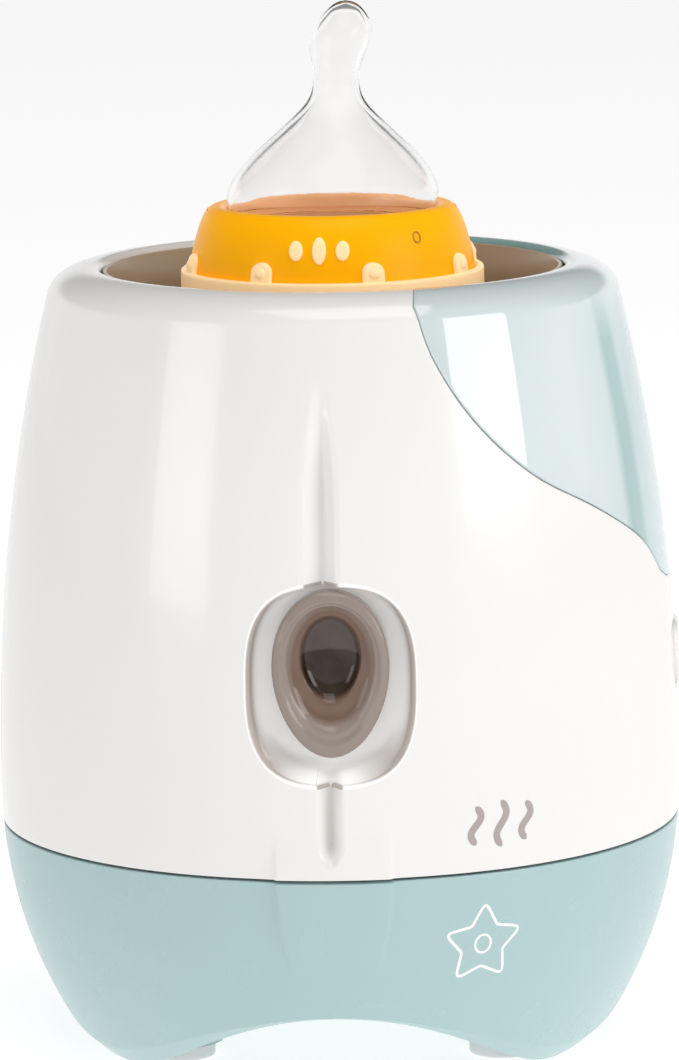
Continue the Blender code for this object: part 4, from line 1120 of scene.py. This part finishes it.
def marks():
    """Generic marks: three steam waves on the housing, and a star with a ring on the base."""
    t = np.linspace(-1, 1, 30)
    for k, (across, half_h) in enumerate(((-5.6, 3.8), (0.0, 4.6), (5.6, 3.8))):
        wave = np.stack([across + 1.1 * np.sin(t * math.pi), half_h * t], axis=1)
        placed(stroke(f"steam_mark_{k + 1}", wave, STEAM_AT, 0.75, MARK), "casing", "white_gloss")
    spikes = math.radians(36) * np.arange(10)
    radii = np.where(np.arange(10) % 2 == 0, 8.8, 4.7)
    corners = np.stack([radii * np.sin(spikes), radii * np.cos(spikes)], axis=1)
    star = rounded(corners, 1.0, closed=True, per_corner=5)
    placed(stroke("star_line", star, STAR_AT, 0.32, LINE_WHITE, closed=True), "casing", "teal_satin")
    turn = full_turn(32)
    ring = np.stack([1.7 * np.cos(turn), 1.9 * np.sin(turn)], axis=1)
    placed(stroke("ring_line", ring, STAR_AT, 0.28, LINE_WHITE, closed=True), "casing", "teal_satin")


def finish_cad_nodes():
    """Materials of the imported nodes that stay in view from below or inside."""
    materials = {
        "bottom_plate": AQUA, "base_screw": STEEL, "board_screw": STEEL, "heater_screw": STEEL,
        "release_spring": STEEL, "button_spring": STEEL, "control_board": BOARD, "tact_switch": BLACK,
        "relay": BLACK, "buzzer": BLACK, "indicator_led": LED, "heater_plate": ALUMINIUM, "plate_seal": RUBBER,
        "heating_element": CERAMIC, "heater_clamp": STEEL, "thermostat": STEEL, "thermal_fuse": CERAMIC,
        "mains_wire_1": RED_WIRE, "mains_wire_2": BLUE_WIRE, "heater_wire": WHITE_WIRE,
    }
    for name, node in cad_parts.items():
        for prefix, mat in materials.items():
            if name.startswith(prefix):
                node.data.materials.clear()
                node.data.materials.append(mat)


# ---------------------------------------------------------------- floor, light and camera

def looking_at(target, azimuth, elevation, distance):
    """A place at this distance from the target, in metres, and the turn that looks at the target."""
    rise = math.radians(elevation)
    place = target + Vector(around(azimuth, distance * math.cos(rise), distance * math.sin(rise)))
    return place, (target - place).to_track_quat("-Z", "Y")


def area_light(name, azimuth, elevation, distance, size, energy):
    """A soft white box that faces the warmer's middle, in degrees, metres and watts."""
    data = bpy.data.lights.new(name, "AREA")
    data.shape, data.energy = "RECTANGLE", energy
    data.size, data.size_y = size
    light = bpy.data.objects.new(name, data)
    light.location, turn = looking_at(Vector((0, 0, 0.1)), azimuth, elevation, distance)
    light.rotation_euler = turn.to_euler()
    light.visible_camera = False
    bpy.context.scene.collection.objects.link(light)


def floor_sheet():
    look = Look("floor_white", Roughness=0.9, Specular_IOR_Level=0.0, Emission_Color=(1, 1, 1, 1),
                Emission_Strength=0.75)
    look.give("Base Color", look.mixed(look.noise(3.0, 2.0), (0.49, 0.49, 0.49), (0.51, 0.51, 0.51)))
    count = 64
    c, s = np.cos(full_turn(count)), np.sin(full_turn(count))
    rows = [np.column_stack([r * c, r * s, np.zeros(count)]) for r in (1.0, 300.0, 2000.0, 9000.0)]
    faces = [list(face)[::-1] for face in grid_faces(len(rows), count)] + [list(range(count))]
    new_piece("floor", np.vstack(rows), faces, look.mat)


def studio():
    """Light that is full at the horizon and weaker above it, and four soft boxes."""
    world = bpy.data.worlds.new("studio")
    world.use_nodes = True
    background = world.node_tree.nodes["Background"]
    background.inputs["Color"].default_value = (1, 1, 1, 1)
    sky = Tree(world.node_tree)
    height = sky.split(sky.add("TexCoord").outputs["Generated"])["Z"]
    world.node_tree.links.new(sky.ranged(height, 1.0, 0.27, 0.165, 0.26), background.inputs["Strength"])
    bpy.context.scene.world = world

    area_light("left_box", -54, 10, 1.6, (0.62, 0.55), 2.4)
    area_light("right_box", 60, 17, 1.6, (0.76, 0.60), 5.8)
    area_light("right_fill", 80, 30, 1.9, (2.0, 2.0), 3.0)
    area_light("top_box", 15, 68, 1.8, (1.4, 1.4), 13.0)


def camera():
    data = bpy.data.cameras.new("camera")
    data.lens = 212.8
    data.sensor_width = 36.0
    data.shift_x = 0.0028
    view = bpy.data.objects.new("camera", data)
    view.location, turn = looking_at(Vector((0, 0, 0.1058)), azimuth=1.4, elevation=9.35, distance=1.29)
    roll = Matrix.Rotation(math.radians(-0.9), 3, "Z")
    view.rotation_euler = (turn.to_matrix() @ roll).to_euler()
    bpy.context.scene.collection.objects.link(view)
    bpy.context.scene.camera = view
    bpy.context.scene.view_settings.view_transform = "Standard"


base_shell()
housing()
recess_wall()
side_cover()
release_button()
power_button()
chamber()
basket()
bottle()
collar()
band()
collar_ring_mark()
teat()
small_parts()
marks()
finish_cad_nodes()
floor_sheet()
studio()
camera()
